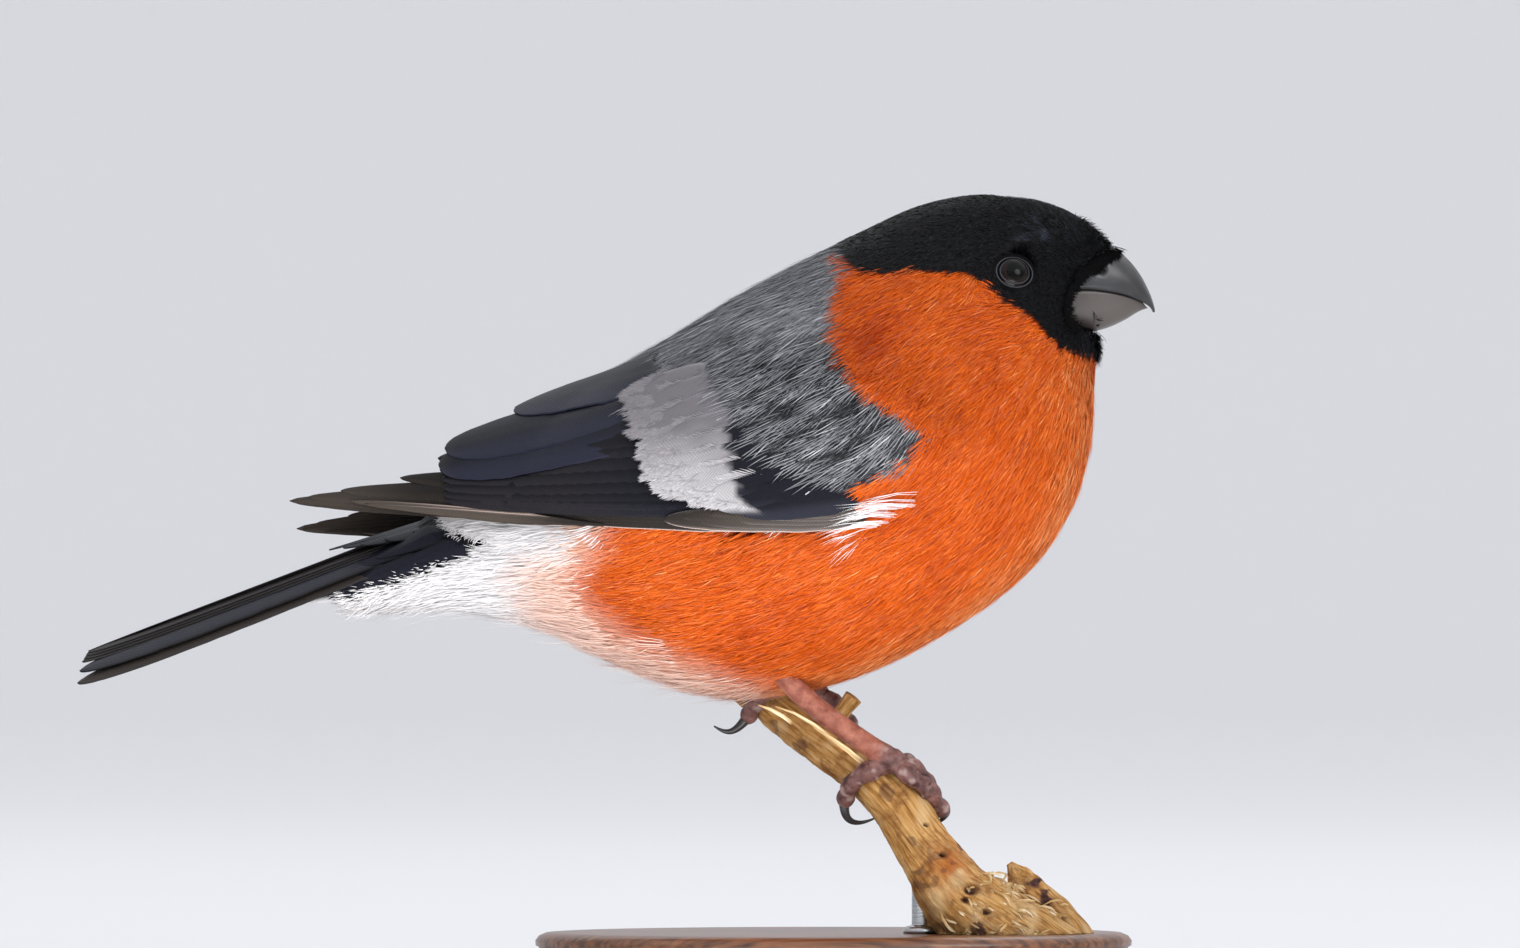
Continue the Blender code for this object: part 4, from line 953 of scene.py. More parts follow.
def tail():
    """The twelve feathers of the folded tail and the glossy coverts over their roots."""
    parts, covers = [], []
    for pair, (out, down, half) in enumerate(TAIL_PAIRS):
        for side in (-1, 1):
            deep = down + (0.4 if side < 0 else 0.24)
            z_root, _ = tail_top(TAIL_ROOT_X, 0.5 * out)
            x_tip = TAIL_END_X - TAIL_NOTCH * pair
            z_tip, outward = tail_top(x_tip, side * out)
            root, tip = (TAIL_ROOT_X, side * 0.5 * out, z_root - deep - 0.5), (x_tip, side * out, z_tip - deep)
            points, faces, values, uv = vane(
                on_line(root, tip, outward, TAIL_ARCH), half, 60.0, 2 * pair + (side > 0),
                rows=40, roundness=7.0, shaft=0.0,
            )
            edge = smooth(np.abs(values["across"]), 0.80, 0.97)
            middle = pair == 4
            # Painted bluish sheen, strongest on the fifth pair from the middle, which shows as a band along the folded
            # tail.
            values["blue_sheen"] = (0.75 if middle else 0.15) * (1 - edge)
            values["brown"] = (0.10 if middle else 0.5 if pair == 5 else 0.2) * (1 - 0.6 * edge)
            values["pale"] = edge * (0.0 if middle else 0.12)
            values["white"] = values["rim"] = edge * 0.0
            parts.append((points, faces, values, uv))
    for reach, out, over in UPPERTAIL_COVERTS:
        for side in (-1, 1) if out else (1,):
            z_root, _ = tail_top(-20.0, side * out)
            z_tip, outward = tail_top(reach, side * out)
            root, tip = (-18.0, side * out, z_root - 0.3), (reach, side * out * 0.9, z_tip + over + 0.3)
            covers.append(vane(
                on_line(root, tip, outward, 0.06), 2.9, 22.0, len(covers), roundness=3.0, shaft=0.0,
            ))
    for side in (-1, 1):
        for x, z, spin, length, half, lift in RUMP_COVERTS:
            covers.append(vane(
                on_body(x, z, side, spin, length, lift), half, length, len(covers), roundness=2.6, shaft=0.0,
            ))
    for _, _, values, _ in covers:
        edge = smooth(np.abs(values["across"]), 0.75, 0.97)
        values["blue_sheen"], values["brown"] = 0.45 - 0.35 * edge, values["along"] * 0.0
        values["pale"] = values["white"] = values["rim"] = values["along"] * 0.0
    for name, group in (("tail_feathers", parts), ("uppertail_coverts", covers)):
        points, faces, values, uv = merged(group)
        make_piece(name, points, faces, FLIGHT, replaces=("tail",), slot="black_feather", uv=uv, **values)


# Glossy coverts down the side of the tail's root, from the back one to the front one: where each is
# rooted in the side view, its turn, length and half width, and its lift.
RUMP_COVERTS = (
    (-33.0, 62.3, -0.05, 11.0, 2.3, 0.05), (-30.0, 61.2, 0.0, 10.0, 2.2, 0.15),
    (-29.0, 64.6, -0.05, 10.5, 2.5, 0.2), (-25.5, 62.6, 0.0, 10.0, 2.3, 0.3),
    (-24.0, 66.6, -0.1, 10.0, 2.6, 0.35), (-20.6, 64.4, -0.02, 10.0, 2.2, 0.45),
)


def on_body(x, z, side, spin, length, lift):
    """The place of any point of a feather that lies on the body from a root in the side view."""
    at, turn = np.meshgrid(np.linspace(0, LAST, 321), np.linspace(0.02, np.pi - 0.02, 161), indexing="ij")
    spot = body(at, turn)
    near = np.argmin((spot[..., 0] - x) ** 2 + (spot[..., 2] - z) ** 2)
    at, turn = at.flat[near], turn.flat[near] * side
    _, backward, sideways, _ = surface_frame(np.array(at), np.array(turn))
    per_at, per_turn = np.linalg.norm(backward), np.linalg.norm(sideways)

    def place(share, offset):
        back = share * length * math.cos(spin) - offset * math.sin(spin)
        over = side * (share * length * math.sin(spin) + offset * math.cos(spin))
        spot_at, spot_turn = np.minimum(at + back / per_at, LAST - 0.02), turn + over / per_turn
        point, _, _, out = surface_frame(spot_at, spot_turn)
        return point + out * (lift - 0.9 * (1 - smooth(share / 0.25)))[..., None], out

    return place


# Bill. Stations of each half from the root: the outer line and the cutting edge in the side view, and
# the half width.
UPPER_BILL = (
    (63.9, 107.2, 60.9, 100.3, 6.1),
    (66.8, 107.3, 63.6, 100.5, 5.8),
    (69.9, 107.0, 67.0, 100.75, 5.1),
    (72.5, 105.4, 69.9, 100.5, 4.3),
    (74.6, 103.0, 72.4, 100.0, 3.3),
    (76.1, 100.2, 74.6, 99.2, 2.1),
    (76.8, 98.2, 76.1, 98.3, 0.75),
    (76.9, 97.5, 76.6, 97.5, 0.25),
)
LOWER_BILL = (
    (60.6, 94.3, 60.2, 100.0, 6.0),
    (64.0, 94.3, 63.4, 100.15, 5.7),
    (67.4, 94.6, 66.8, 100.35, 4.95),
    (70.2, 95.3, 69.8, 100.1, 4.05),
    (72.6, 96.4, 72.2, 99.6, 3.0),
    (74.6, 97.6, 74.3, 98.85, 1.8),
    (75.9, 98.1, 75.7, 98.25, 0.6),
)
NOSTRIL_AT, NOSTRIL_RADIUS = (69.3, 103.4), 0.45


def horn_material():
    """Horn of bill and claws: slate keratin with a dull polish, grown in fine layers."""
    made, tree, shader = new_material("slate_horn", Roughness=0.33, Specular_IOR_Level=0.6)
    place = add(tree, "TexCoord").outputs["Object"]
    broad = add(tree, "TexNoise", {"Vector": place, "Scale": 1 / 0.004, "Detail": 3.0})
    colour = add(tree, "ValToRGB", {0: broad.outputs[0]}, stops=((0.3, "#1b1c1e"), (0.7, "#35363a")))
    # light: the lower bill's paler horn and the claws' paler roots, and a painted highlight along the upper bill's top.
    colour = blended(tree, value_of(tree, "light"), colour.outputs[0], srgb("#5b524d"))
    # dark: painted shade along the bill's cutting edges, in the nostril pit and towards its tip; the claws darker
    # towards their tips.
    colour = blended(tree, value_of(tree, "dark"), colour, srgb("#0e0e10"))
    tree.links.new(colour, shader.inputs["Base Color"])
    layers = add(tree, "TexNoise", {"Vector": place, "Scale": 1 / 0.0006, "Detail": 4.0})
    bump = add(tree, "Bump", {"Height": layers.outputs[0], "Strength": 0.3, "Distance": 0.00006})
    tree.links.new(bump.outputs[0], shader.inputs["Normal"])
    return made


HORN = horn_material()


BILL_SIDE = []


def bill_half(name, stations, lower):
    """One half of the bill, rounded outside and flat along the cutting edge. The lower half's edge
    closes inside the upper one's."""
    rows, arc = 72, 48
    at = np.linspace(0, len(stations) - 1, rows)
    outer_x, outer_z, edge_x, edge_z, wide = (v[:, None] for v in np.moveaxis(curve(stations, at), -1, 0))
    angle = np.pi * np.arange(arc + 1) / arc
    height = np.sin(angle) ** 0.8
    tipward = at[:, None] / (len(stations) - 1)
    edge_z = edge_z + (0.42 * smooth(tipward, 1.0, 0.9) if lower else 0.0)
    wide = np.maximum(wide * (0.96 if lower else 1.0), 0.12)
    keel = 0.25 * np.exp(-(((angle - np.pi / 2) / 0.16) ** 2)) * (1 - tipward) * (not lower)
    step_x, step_z = outer_x - edge_x, outer_z - edge_z
    reach = np.hypot(step_x, step_z)
    x = edge_x + step_x * (height + keel / np.maximum(reach, 1.0))
    z = edge_z + step_z * (height + keel / np.maximum(reach, 1.0))
    y = wide * np.cos(angle) * (1 + 0.05 * np.sin(angle) ** 2)
    pit = np.exp(-(((x - NOSTRIL_AT[0]) ** 2 + (z - NOSTRIL_AT[1]) ** 2) / NOSTRIL_RADIUS**2))
    y = y - np.sign(y) * (0.0 if lower else 0.9) * pit
    points = join(x, y, z)
    points[..., 1] += 0.03 * lumps(points, 1.3, 11) * np.sign(y)
    BILL_SIDE.append(points[y > 0])
    # Painted highlight: the upper half grows lighter towards its top; the lower half's paler horn is its own colour.
    light = (0.62 if lower else 0.10 * smooth(height, 0.0, 0.5)) * np.ones(x.shape)
    # Painted shade along the cutting edge, in the nostril pit and towards the tip.
    dark = np.maximum(smooth(height, 0.10, 0.02) * 0.8, 0.6 * pit) + 0.35 * smooth(tipward, 0.75, 1.0)
    make_piece(
        name, points, loft_faces(rows, arc + 1), HORN, replaces=(name,), slot="horn",
        light=light, dark=np.clip(dark, 0, 1),
    )


def bill():
    bill_half("bill_upper", UPPER_BILL, False)
    bill_half("bill_lower", LOWER_BILL, True)


def eye_material():
    """A wet dark eye: deep brown iris round a black pupil under a clear cornea."""
    made, tree, shader = new_material("wet_eye", Roughness=0.14, Specular_IOR_Level=0.17)
    colour = add(tree, "ValToRGB", {0: value_of(tree, "ring")}, stops=(
        (0.0, "#010101"), (0.30, "#010101"), (0.36, "#160d09"), (0.7, "#0e0807"), (1.0, "#040303"),
    ))
    tree.links.new(colour.outputs[0], shader.inputs["Base Color"])
    return made


def lid_material():
    """Bare skin of the lids, slate black and finely beaded along its rims."""
    made, tree, shader = new_material("bare_lid_skin", Roughness=0.6, Specular_IOR_Level=0.06)
    colour = blended(tree, value_of(tree, "bead"), srgb("#020203"), srgb("#5c5d62"))
    tree.links.new(colour, shader.inputs["Base Color"])
    return made


# The lids' profile: distance from the eye's axis, lift, and how pale its beads are. They rest on the
# eyeball inside and on the head's skin outside.
LID_PROFILE = (
    (1.94, -0.05, 0.0), (2.02, 0.06, 0.3), (2.08, 0.13, 0.8), (2.14, 0.10, 0.3), (2.24, 0.00, 0.0),
    (2.42, 0.02, 0.0), (2.52, 0.14, 0.4), (2.58, 0.20, 1.0), (2.64, 0.14, 0.4), (2.78, 0.04, 0.0),
    (3.10, 0.00, 0.0), (3.45, -0.20, 0.0), (3.80, -0.9, 0.0),
)
LID_LONG, LID_HIGH = 1.03, 0.87


def eyes():
    """Each eyeball with its lids, where the solids have it."""
    ball_finish, lid_finish = eye_material(), lid_material()
    for side, word in ((-1, "right"), (1, "left")):
        low, high = (np.array(corner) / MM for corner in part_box("eye_" + word))
        centre, radius = (low + high) / 2, float((high - low).max() / 2)
        skin = np.array([EYE_AT[0], side * float(body_side(np.array(EYE_AT[0]), np.array(EYE_AT[1]))), EYE_AT[1]])
        axis = unit(skin - centre)
        level = float(np.linalg.norm(skin - centre)) - 0.12
        long = unit(np.array([1.0, 0.0, 0.0]) - axis * axis[0])
        high_way = np.cross(axis, long) * -side
        turn = np.arange(64) / 64 * 2 * np.pi
        tilt = np.linspace(0.02, np.pi - 0.02, 48)
        ring = np.cos(turn)[:, None] * long + np.sin(turn)[:, None] * high_way
        points = centre + radius * (np.cos(tilt)[:, None, None] * axis + np.sin(tilt)[:, None, None] * ring)
        part = np.repeat((tilt / (np.pi / 2))[:, None], 64, 1)
        make_piece(
            "eyeball_" + word, points, loft_faces(48, 64), ball_finish, replaces=("eye_" + word,),
            slot="eye", ring=np.clip(part, 0, 1),
        )
        rim = np.arange(168) / 168 * 2 * np.pi
        profile = curve(LID_PROFILE, np.linspace(0, len(LID_PROFILE) - 1, 64))
        away, lift, bead = (v[:, None] for v in np.moveaxis(profile, -1, 0))
        u, v = away * LID_LONG * np.cos(rim), away * LID_HIGH * np.sin(rim)
        on_ball = np.sqrt(np.maximum(radius**2 - u**2 - v**2, 0.0))
        beads = 0.5 + 0.5 * np.sin(42 * rim)
        up = mix(on_ball, level, smooth(away, 2.12, 2.5)) + lift * (0.7 + 0.3 * beads)
        points = centre + u[..., None] * long + v[..., None] * high_way + up[..., None] * axis
        make_piece(
            "lids_" + word, points, [grid_faces(64, 168, closed=True)], lid_finish, slot="black_feather",
            bead=np.clip(bead * (0.55 + 0.45 * beads), 0, 1),
        )


# Single barbs and bristles that stand clear of the coat.
def strands(name, start, end, bow, half, tone, home, material, slot=None, facing=(0.0, -1.0, 0.0)):
    """Tufts of bowed barbs between given ends. start, end and bow are (tufts, barbs, 3)."""
    t = STATIONS[:, None]
    start, end, bow = (a[..., None, :] for a in (start, end, bow))
    centre = start + (end - start) * t + bow * (4 * t * (1 - t))
    ahead = unit(centre[..., 3, :] - centre[..., 0, :])
    edge = unit(np.cross(ahead, np.asarray(facing)))
    return coat_piece(
        name, centre, edge, half * np.ones(tone.shape[1]), tone, np.zeros(tone.shape), home, material, slot,
    )


def flank(x, z):
    """Half width of the bird with its coat at points of the side view."""
    return over_pad(x, z, body_side(x, z))


# White flank barbs swept over the front of the wing, in the side view: their roots and tips from the
# upper to the lower, two lone fans below them, and small ones along the wing's lower edge.
WISP_ROOTS = ((41.5, 73.0), (43.6, 72.0), (42.0, 70.7), (40.0, 69.2), (38.0, 67.6), (36.2, 66.2))
WISP_TIPS = ((35.0, 71.6), (33.4, 70.7), (31.6, 69.4), (30.6, 67.8), (29.0, 65.8), (28.7, 64.5))
LONE_WISPS = (
    (37.2, 66.6, 29.6, 61.8, 0.45), (37.0, 66.3, 30.6, 60.8, 0.4), (25.5, 66.7, 21.6, 65.5, 0.5),
    (23.6, 66.6, 20.3, 65.2, 0.5), (18.6, 66.7, 14.8, 65.8, 0.4),
)


def over_wing(x, z):
    """Half width of the bird with the folded wing's feathers."""
    return np.maximum(flank(x, z), wing_point(x, shell_angle(x, z))[..., 1] * (z > 66.8))


def wisps(side, word):
    """The loose white barbs at the wing's front edge, each thin and bowed outward."""
    fans = []
    for share in np.sort(DRAW.random(24)) ** 0.6:
        root = curve(WISP_ROOTS, np.array(share * 5)) + DRAW.normal(size=2) * 0.35
        tip = curve(WISP_TIPS, np.array(share * 5)) + DRAW.normal(size=2) * 0.45
        fans.append((*root, *tip, 0.5))
    fans += LONE_WISPS
    barbs = 3
    start, end, bow, home = [], [], [], []
    for x, z, tip_x, tip_z, spread in fans:
        q = np.linspace(-1, 1, barbs) + DRAW.normal(size=barbs) * 0.2
        along = unit(np.array([tip_x - x, tip_z - z]))
        reach = math.hypot(tip_x - x, tip_z - z) * DRAW.uniform(0.7, 1.05, barbs)
        start_x = x + DRAW.normal(size=barbs) * 0.12 - along[1] * q * 0.12
        start_z = z + DRAW.normal(size=barbs) * 0.12 + along[0] * q * 0.12
        end_x = x + along[0] * reach - along[1] * q * spread
        end_z = z + along[1] * reach + along[0] * q * spread
        lift = 0.35 + 0.4 * DRAW.random(barbs)
        start.append(join(start_x, side * (over_wing(start_x, start_z) - 1.1), start_z))
        end.append(join(end_x, side * (over_wing(end_x, end_z) + lift), end_z))
        bow.append(join(0.1, side * (0.6 + 0.15 * q), 0.5 + 0.25 * q))
        home.append((x / 100, z / 100))
    start, end, bow, home = (np.array(group) for group in (start, end, bow, home))
    tone = np.linspace(0.25, 0.85, len(fans))[:, None] + 0.22 * DRAW.normal(size=start.shape[:2])
    strands("wing_front_barbs_" + word, start, end, bow, 0.036, np.clip(tone, 0, 1), home, WHITE_COAT, facing=(0.0, side, 0.0))


def over_bill(x, z):
    """Half width of face and bill at points of the side view."""
    spots = np.concatenate(BILL_SIDE)
    away = (spots[:, 0] - np.ravel(x)[:, None]) ** 2 + (spots[:, 2] - np.ravel(z)[:, None]) ** 2
    near = np.argmin(away, axis=1)
    bill_half_width = np.where(away.min(1) < 0.3, spots[near, 1], 0.0).reshape(np.shape(x))
    return np.maximum(bill_half_width, body_side(x, z))


def bristles():
    """Short black bristles over the root of the bill, on the forehead and round the bib."""
    outline = np.array(BARE_BILL[:9])
    way = np.concatenate([DRAW.uniform(0.0, len(outline) - 1.001, 300), DRAW.uniform(0.0, 3.2, 260)])
    spot = curve(outline, way)
    barbs = 5
    q = np.linspace(-1, 1, barbs)
    for side, word in ((-1, "right"), (1, "left")):
        back = DRAW.uniform(0.3, 1.5, len(way)) + np.where(np.arange(len(way)) < 300, 0.2, 0.9)
        x = spot[:, 0] - back * np.interp(way, (0, 3, 5), (1.0, 1.0, 0.7))
        z = spot[:, 1] + 0.35 * DRAW.normal(size=len(way)) + np.interp(way, (0, 3, 5), (0.5, 0.5, 0.0))
        heading = np.radians(np.interp(way, (0, 3, 5, 8), (-38, -35, -15, 5)))[:, None]
        heading = heading + 0.35 * q + 0.2 * DRAW.normal(size=(len(way), barbs))
        reach = np.interp(way, (0, 0.8, 3, 5), (1.3, 0.9, 0.9, 0.9))[:, None] * DRAW.uniform(0.7, 1.5, (len(way), 1))
        reach = reach * DRAW.uniform(0.8, 1.1, (len(way), barbs))
        start_x, start_z = x[:, None] + 0.1 * q, z[:, None] + 0.1 * q
        end_x, end_z = start_x + reach * np.cos(heading), start_z + reach * np.sin(heading)
        start = join(start_x, side * (over_bill(start_x, start_z) - 0.1), start_z)
        end = join(end_x, side * (over_bill(end_x, end_z) + 0.15), end_z)
        bow = join(0.0, side * 0.3, 0.0 * q) * np.ones((len(way), 1, 1))
        tone = np.clip(0.4 + 0.25 * DRAW.normal(size=(len(way), barbs)), 0, 1)
        home = np.stack([way / 12, 0.5 + 0.0 * way], axis=-1)
        strands("bill_bristles_" + word, start, end, bow, 0.05, tone, home, BRISTLE, "black_feather",
                facing=(0.0, side, 0.0))
    tufts, barbs = 320, 6
    brow = np.arange(tufts) < 200
    at = np.where(brow, DRAW.uniform(0.15, 1.3, tufts), DRAW.uniform(0.6, 1.4, tufts))
    turn = np.where(brow, DRAW.normal(size=tufts) * 0.5, np.pi + DRAW.normal(size=tufts) * 0.5)
    style = (1.6, 0.30, 0.045, barbs, 0.4, 0.32, 0.2, 25, 0.0)
    spin = np.where(brow, np.pi + DRAW.normal(size=tufts) * 0.7, DRAW.normal(size=tufts) * 0.4)
    tone = np.clip(0.35 + 0.25 * DRAW.normal(size=(tufts, barbs)), 0, 1)
    size = DRAW.uniform(0.6, 1.2, tufts)
    lay_tufts("brow_and_bib_bristles", np.maximum(at, 0.35), turn, style, size, np.ones(tufts), spin, tone,
              tone * 0.0, BRISTLE, "black_feather")


BRISTLE = plumage(
    "black_face_bristle",
    ((0.0, "#010101"), (0.6, "#050506"), (1.0, "#101114")), "#010101", "#101114", 0.6, specular=0.05,
)


# Perch. The branch's axis and radius at each of its places from the upper end.
BRANCH = (
    (17.6, 15.4, 45.2, 3.3), (23.5, 9.6, 40.9, 3.5), (29.4, 3.4, 36.6, 3.6), (35.4, -2.6, 31.9, 3.7),
    (40.5, -7.0, 26.8, 3.8), (44.0, -9.0, 20.7, 4.1), (48.6, -9.6, 14.4, 5.3), (55.6, -9.4, 8.6, 6.3),
    (62.6, -9.0, 3.4, 6.6), (68.6, -8.6, -1.4, 6.6),
)
SPUR = (
    (56.0, -5.2, 18.9, 0.35), (57.2, -5.4, 17.2, 1.6), (58.4, -5.6, 15.2, 2.5), (62.2, -6.6, 10.8, 3.3),
    (67.6, -8.0, 4.0, 3.4),
)
STUB = ((30.3, 0.6, 36.3, 1.7), (31.3, -0.5, 38.6, 1.35), (32.4, -1.2, 40.6, 1.2), (33.8, -1.7, 42.6, 1.35))
KNOB = ((46.4, -9.2, 16.0, 1.3), (45.8, -9.6, 12.8, 1.15), (45.3, -9.8, 10.4, 1.0), (45.2, -9.9, 9.9, 0.7))
CUT_LEVEL = 9.03

# Beetle holes, each by its place in the side view and its radius.
HOLES = ((50.5, 15.3, 0.75), (49.7, 13.9, 0.5), (46.6, 20.4, 0.45), (44.2, 24.6, 0.3), (52.6, 12.2, 0.5))


def branch_frame(at):
    """Axis point, radius and the directions along, up and forwards of the branch at places on it."""
    rows = curve(BRANCH, at)
    along = unit(curve(BRANCH, at + 0.05)[..., :3] - rows[..., :3])
    up = unit(np.array([0.0, 0.0, 1.0]) - along * along[..., 2:])
    return rows[..., :3], rows[..., 3], along, up, np.cross(up, along)


def branch_skin(at, angle, lift):
    """Points over the branch's bark. Angle 0 is its top and a quarter turn its forward side."""
    point, radius, _, up, forward = branch_frame(np.asarray(at, float))
    angle, lift = np.asarray(angle, float), np.asarray(lift, float)
    out = up * np.cos(angle)[..., None] + forward * np.sin(angle)[..., None]
    return point + out * (radius + lift)[..., None]


def wood_material():
    """Dry barkless softwood: long ochre fibres 0.3 mm wide, brown rot, and scraps of dark red bark."""
    made, tree, shader = new_material("weathered_bare_wood", Roughness=0.78, Specular_IOR_Level=0.25)
    grain = add(tree, "Attribute", attribute_name="grain").outputs["Vector"]
    fibre = add(tree, "TexNoise", {"Vector": grain, "Scale": 1.0, "Detail": 5.0, "Roughness": 0.65})
    colour = add(tree, "ValToRGB", {0: fibre.outputs[0]}, stops=(
        (0.28, "#5a3616"), (0.40, "#93652f"), (0.52, "#b3864c"), (0.74, "#d4b07a"),
    ))
    place = add(tree, "TexCoord").outputs["Object"]
    stain = add(tree, "TexNoise", {"Vector": place, "Scale": 1 / 0.0035, "Detail": 5.0, "Roughness": 0.6})
    spotted = add(tree, "MapRange", {0: stain.outputs[0], 1: 0.50, 2: 0.66, 3: 0.0, 4: 0.8})
    colour = blended(tree, spotted.outputs[0], colour.outputs[0], srgb("#6e421c"))
    colour = blended(tree, value_of(tree, "pale"), colour, srgb("#d9c196"))
    colour = blended(tree, value_of(tree, "rot"), colour, srgb("#a3551b"))
    fleck = add(tree, "TexNoise", {"Vector": place, "Scale": 1 / 0.0007, "Detail": 3.0})
    bark = add(tree, "ValToRGB", {0: fleck.outputs[0]}, stops=((0.35, "#2e1a17"), (0.65, "#5e3d33")))
    # The bark value also covers the beetle holes, as painted shade inside them.
    colour = blended(tree, value_of(tree, "bark"), colour, bark.outputs[0])
    tree.links.new(colour, shader.inputs["Base Color"])
    bump = add(tree, "Bump", {"Height": fibre.outputs[0], "Strength": 0.8, "Distance": 0.00022})
    tree.links.new(bump.outputs[0], shader.inputs["Normal"])
    return made


WOOD = wood_material()


def cut_flat(points, along):
    """Slides what lies below the cut back along the grain until it is level with it."""
    below = np.minimum(points[..., 2] - CUT_LEVEL, 0.0)
    return points - along * (below / np.minimum(along[..., 2], -0.2))[..., None]


def gnarled(points, out, grain, strength):
    """Wood's surface: slow swellings, splits along the fibres and beetle holes, with its colours, and painted shade
    inside the holes.
    """
    x, _, z = np.moveaxis(points, -1, 0)
    swell = 0.35 * lumps(points, 5.0, 21) + 0.18 * lumps(points, 1.8, 22) + 0.09 * lumps(points, 0.8, 29)
    fibre = 0.12 * lumps(grain, 1.0, 23) + 0.06 * lumps(grain * 2.3, 1.0, 24)
    rough = smooth(x, 46.0, 54.0)
    torn = 0.35 * rough * np.abs(lumps(grain * (0.5, 0.5, 1.2), 1.0, 25))
    hole = np.zeros(x.shape)
    for hole_x, hole_z, size in HOLES:
        near = np.exp(-(((x - hole_x) / (1.3 * size)) ** 2 + ((z - hole_z) / (0.8 * size)) ** 2) ** 2)
        hole = np.maximum(hole, near * (out[..., 1] < 0.1))
    height = strength * (swell + fibre) + torn - 1.3 * hole
    spot = lumps(points, 3.2, 26) + 0.5 * lumps(points, 1.1, 27)
    bark = smooth(spot, 0.50, 0.62) * (0.5 + 0.5 * rough)
    rot = 0.75 * np.exp(-(((x - 47.6) / 2.6) ** 2 + ((z - 18.6) / 3.4) ** 2)) * smooth(spot, -0.4, 0.3)
    pale = smooth(lumps(points, 2.6, 28), 0.2, 0.9) * 0.4 + 0.3 * rough * smooth(fibre, 0.0, 0.1)
    # The beetle holes take the bark's dark colour: painted shade inside them.
    values = {"grain": grain, "bark": np.maximum(bark, hole), "rot": rot, "pale": np.clip(pale, 0, 1)}
    return points + out * height[..., None], values


def wood_piece(name, stations, rows, around, strength, flat=1.0, first=0.0):
    """A length of wood along an axis with radii, its grain running with it."""
    at = np.linspace(first, len(stations) - 1.001, rows)[:, None] * np.ones(around)
    angle = np.arange(around)[None, :] / around * 2 * np.pi * np.ones((rows, 1))
    line = curve(stations, at)
    point, radius = line[..., :3], line[..., 3]
    along = unit(curve(stations, at + 0.05)[..., :3] - point)
    up = unit(np.array([0.0, 0.0, 1.0]) - along * along[..., 2:])
    forward = np.cross(up, along)
    out = up * np.cos(angle)[..., None] + forward * flat * np.sin(angle)[..., None]
    ripple = 1 + 0.04 * np.sin(3 * angle + 1.7 * at) + 0.03 * np.sin(5 * angle - 2.3 * at)
    run = np.cumsum(np.linalg.norm(np.diff(point, axis=0, prepend=point[:1]), axis=-1), axis=0)
    grain = join(radius * np.cos(angle) / 0.45, radius * np.sin(angle) / 0.45, run / 6.0 + len(name))
    points, values = gnarled(point + out * (radius * ripple)[..., None], out, grain, strength)
    if flat == 1.0 or name == "perch_spur":
        points = cut_flat(points, along)
    return make_piece(
        name, points, loft_faces(rows, around), WOOD, replaces=("perch_branch",), slot="bare_wood", **values,
    )


def splinters():
    """Lifted slivers of wood: two long ones along the shin, and torn fibres about the broken end."""
    starts, ends, bows = [], [], []
    for start, end, bow in (
        ((20.2, -13.2, 41.6), (24.9, -12.6, 38.9), (0.0, -0.3, 0.35)),
        ((22.6, -12.6, 41.4), (30.0, -12.2, 37.0), (0.1, -0.3, 0.55)),
        ((28.0, -12.3, 38.4), (34.9, -11.6, 33.2), (0.1, -0.3, 0.30)),
    ):
        for copy in range(3):
            starts.append(start)
            ends.append(np.array(end) + (0.25 * copy, 0.0, 0.12 * copy))
            bows.append(bow)
    for _ in range(150):
        at, angle = DRAW.uniform(6.0, 7.4), DRAW.uniform(-2.6, 1.2)
        root = branch_skin(at, angle, 0.1)
        reach = DRAW.uniform(1.2, 3.4)
        way = unit(branch_skin(at + 0.1, angle, 0.0) - root + DRAW.normal(size=3) * 0.5)
        tip = root + way * reach
        tip[2] = max(tip[2], CUT_LEVEL + 0.1)
        starts.append(root)
        ends.append(tip)
        bows.append((branch_skin(at, angle, 1.0) - root) * DRAW.uniform(0.2, 0.9))
    starts, ends, bows = (np.array(group)[:, None, :] * np.ones((1, 3, 1)) for group in (starts, ends, bows))
    ends = ends + DRAW.normal(size=ends.shape) * 0.12
    tone = np.clip(0.6 + 0.3 * DRAW.normal(size=starts.shape[:2]), 0, 1)
    home = np.stack([np.arange(len(starts)) / len(starts), np.zeros(len(starts))], axis=-1)
    strands("perch_splinters", starts, ends, bows, 0.13, tone, home, FIBRE, "bare_wood")


FIBRE = plumage(
    "torn_wood_fibre",
    ((0.0, "#8a5f2c"), (0.5, "#cfae78"), (1.0, "#ead8b4")), "#b08950", "#ffffff", 0.8, specular=0.2,
)


def perch():
    """The cut branch with its broken spur, stub, knob and splinters."""
    wood_piece("perch_stem", BRANCH, 420, 150, 0.8)
    wood_piece("perch_spur", SPUR, 130, 80, 0.35, flat=0.7)
    wood_piece("perch_stub", STUB, 60, 56, 0.25, flat=0.8)
    wood_piece("perch_knob", KNOB, 50, 48, 0.25, flat=0.99)
    splinters()


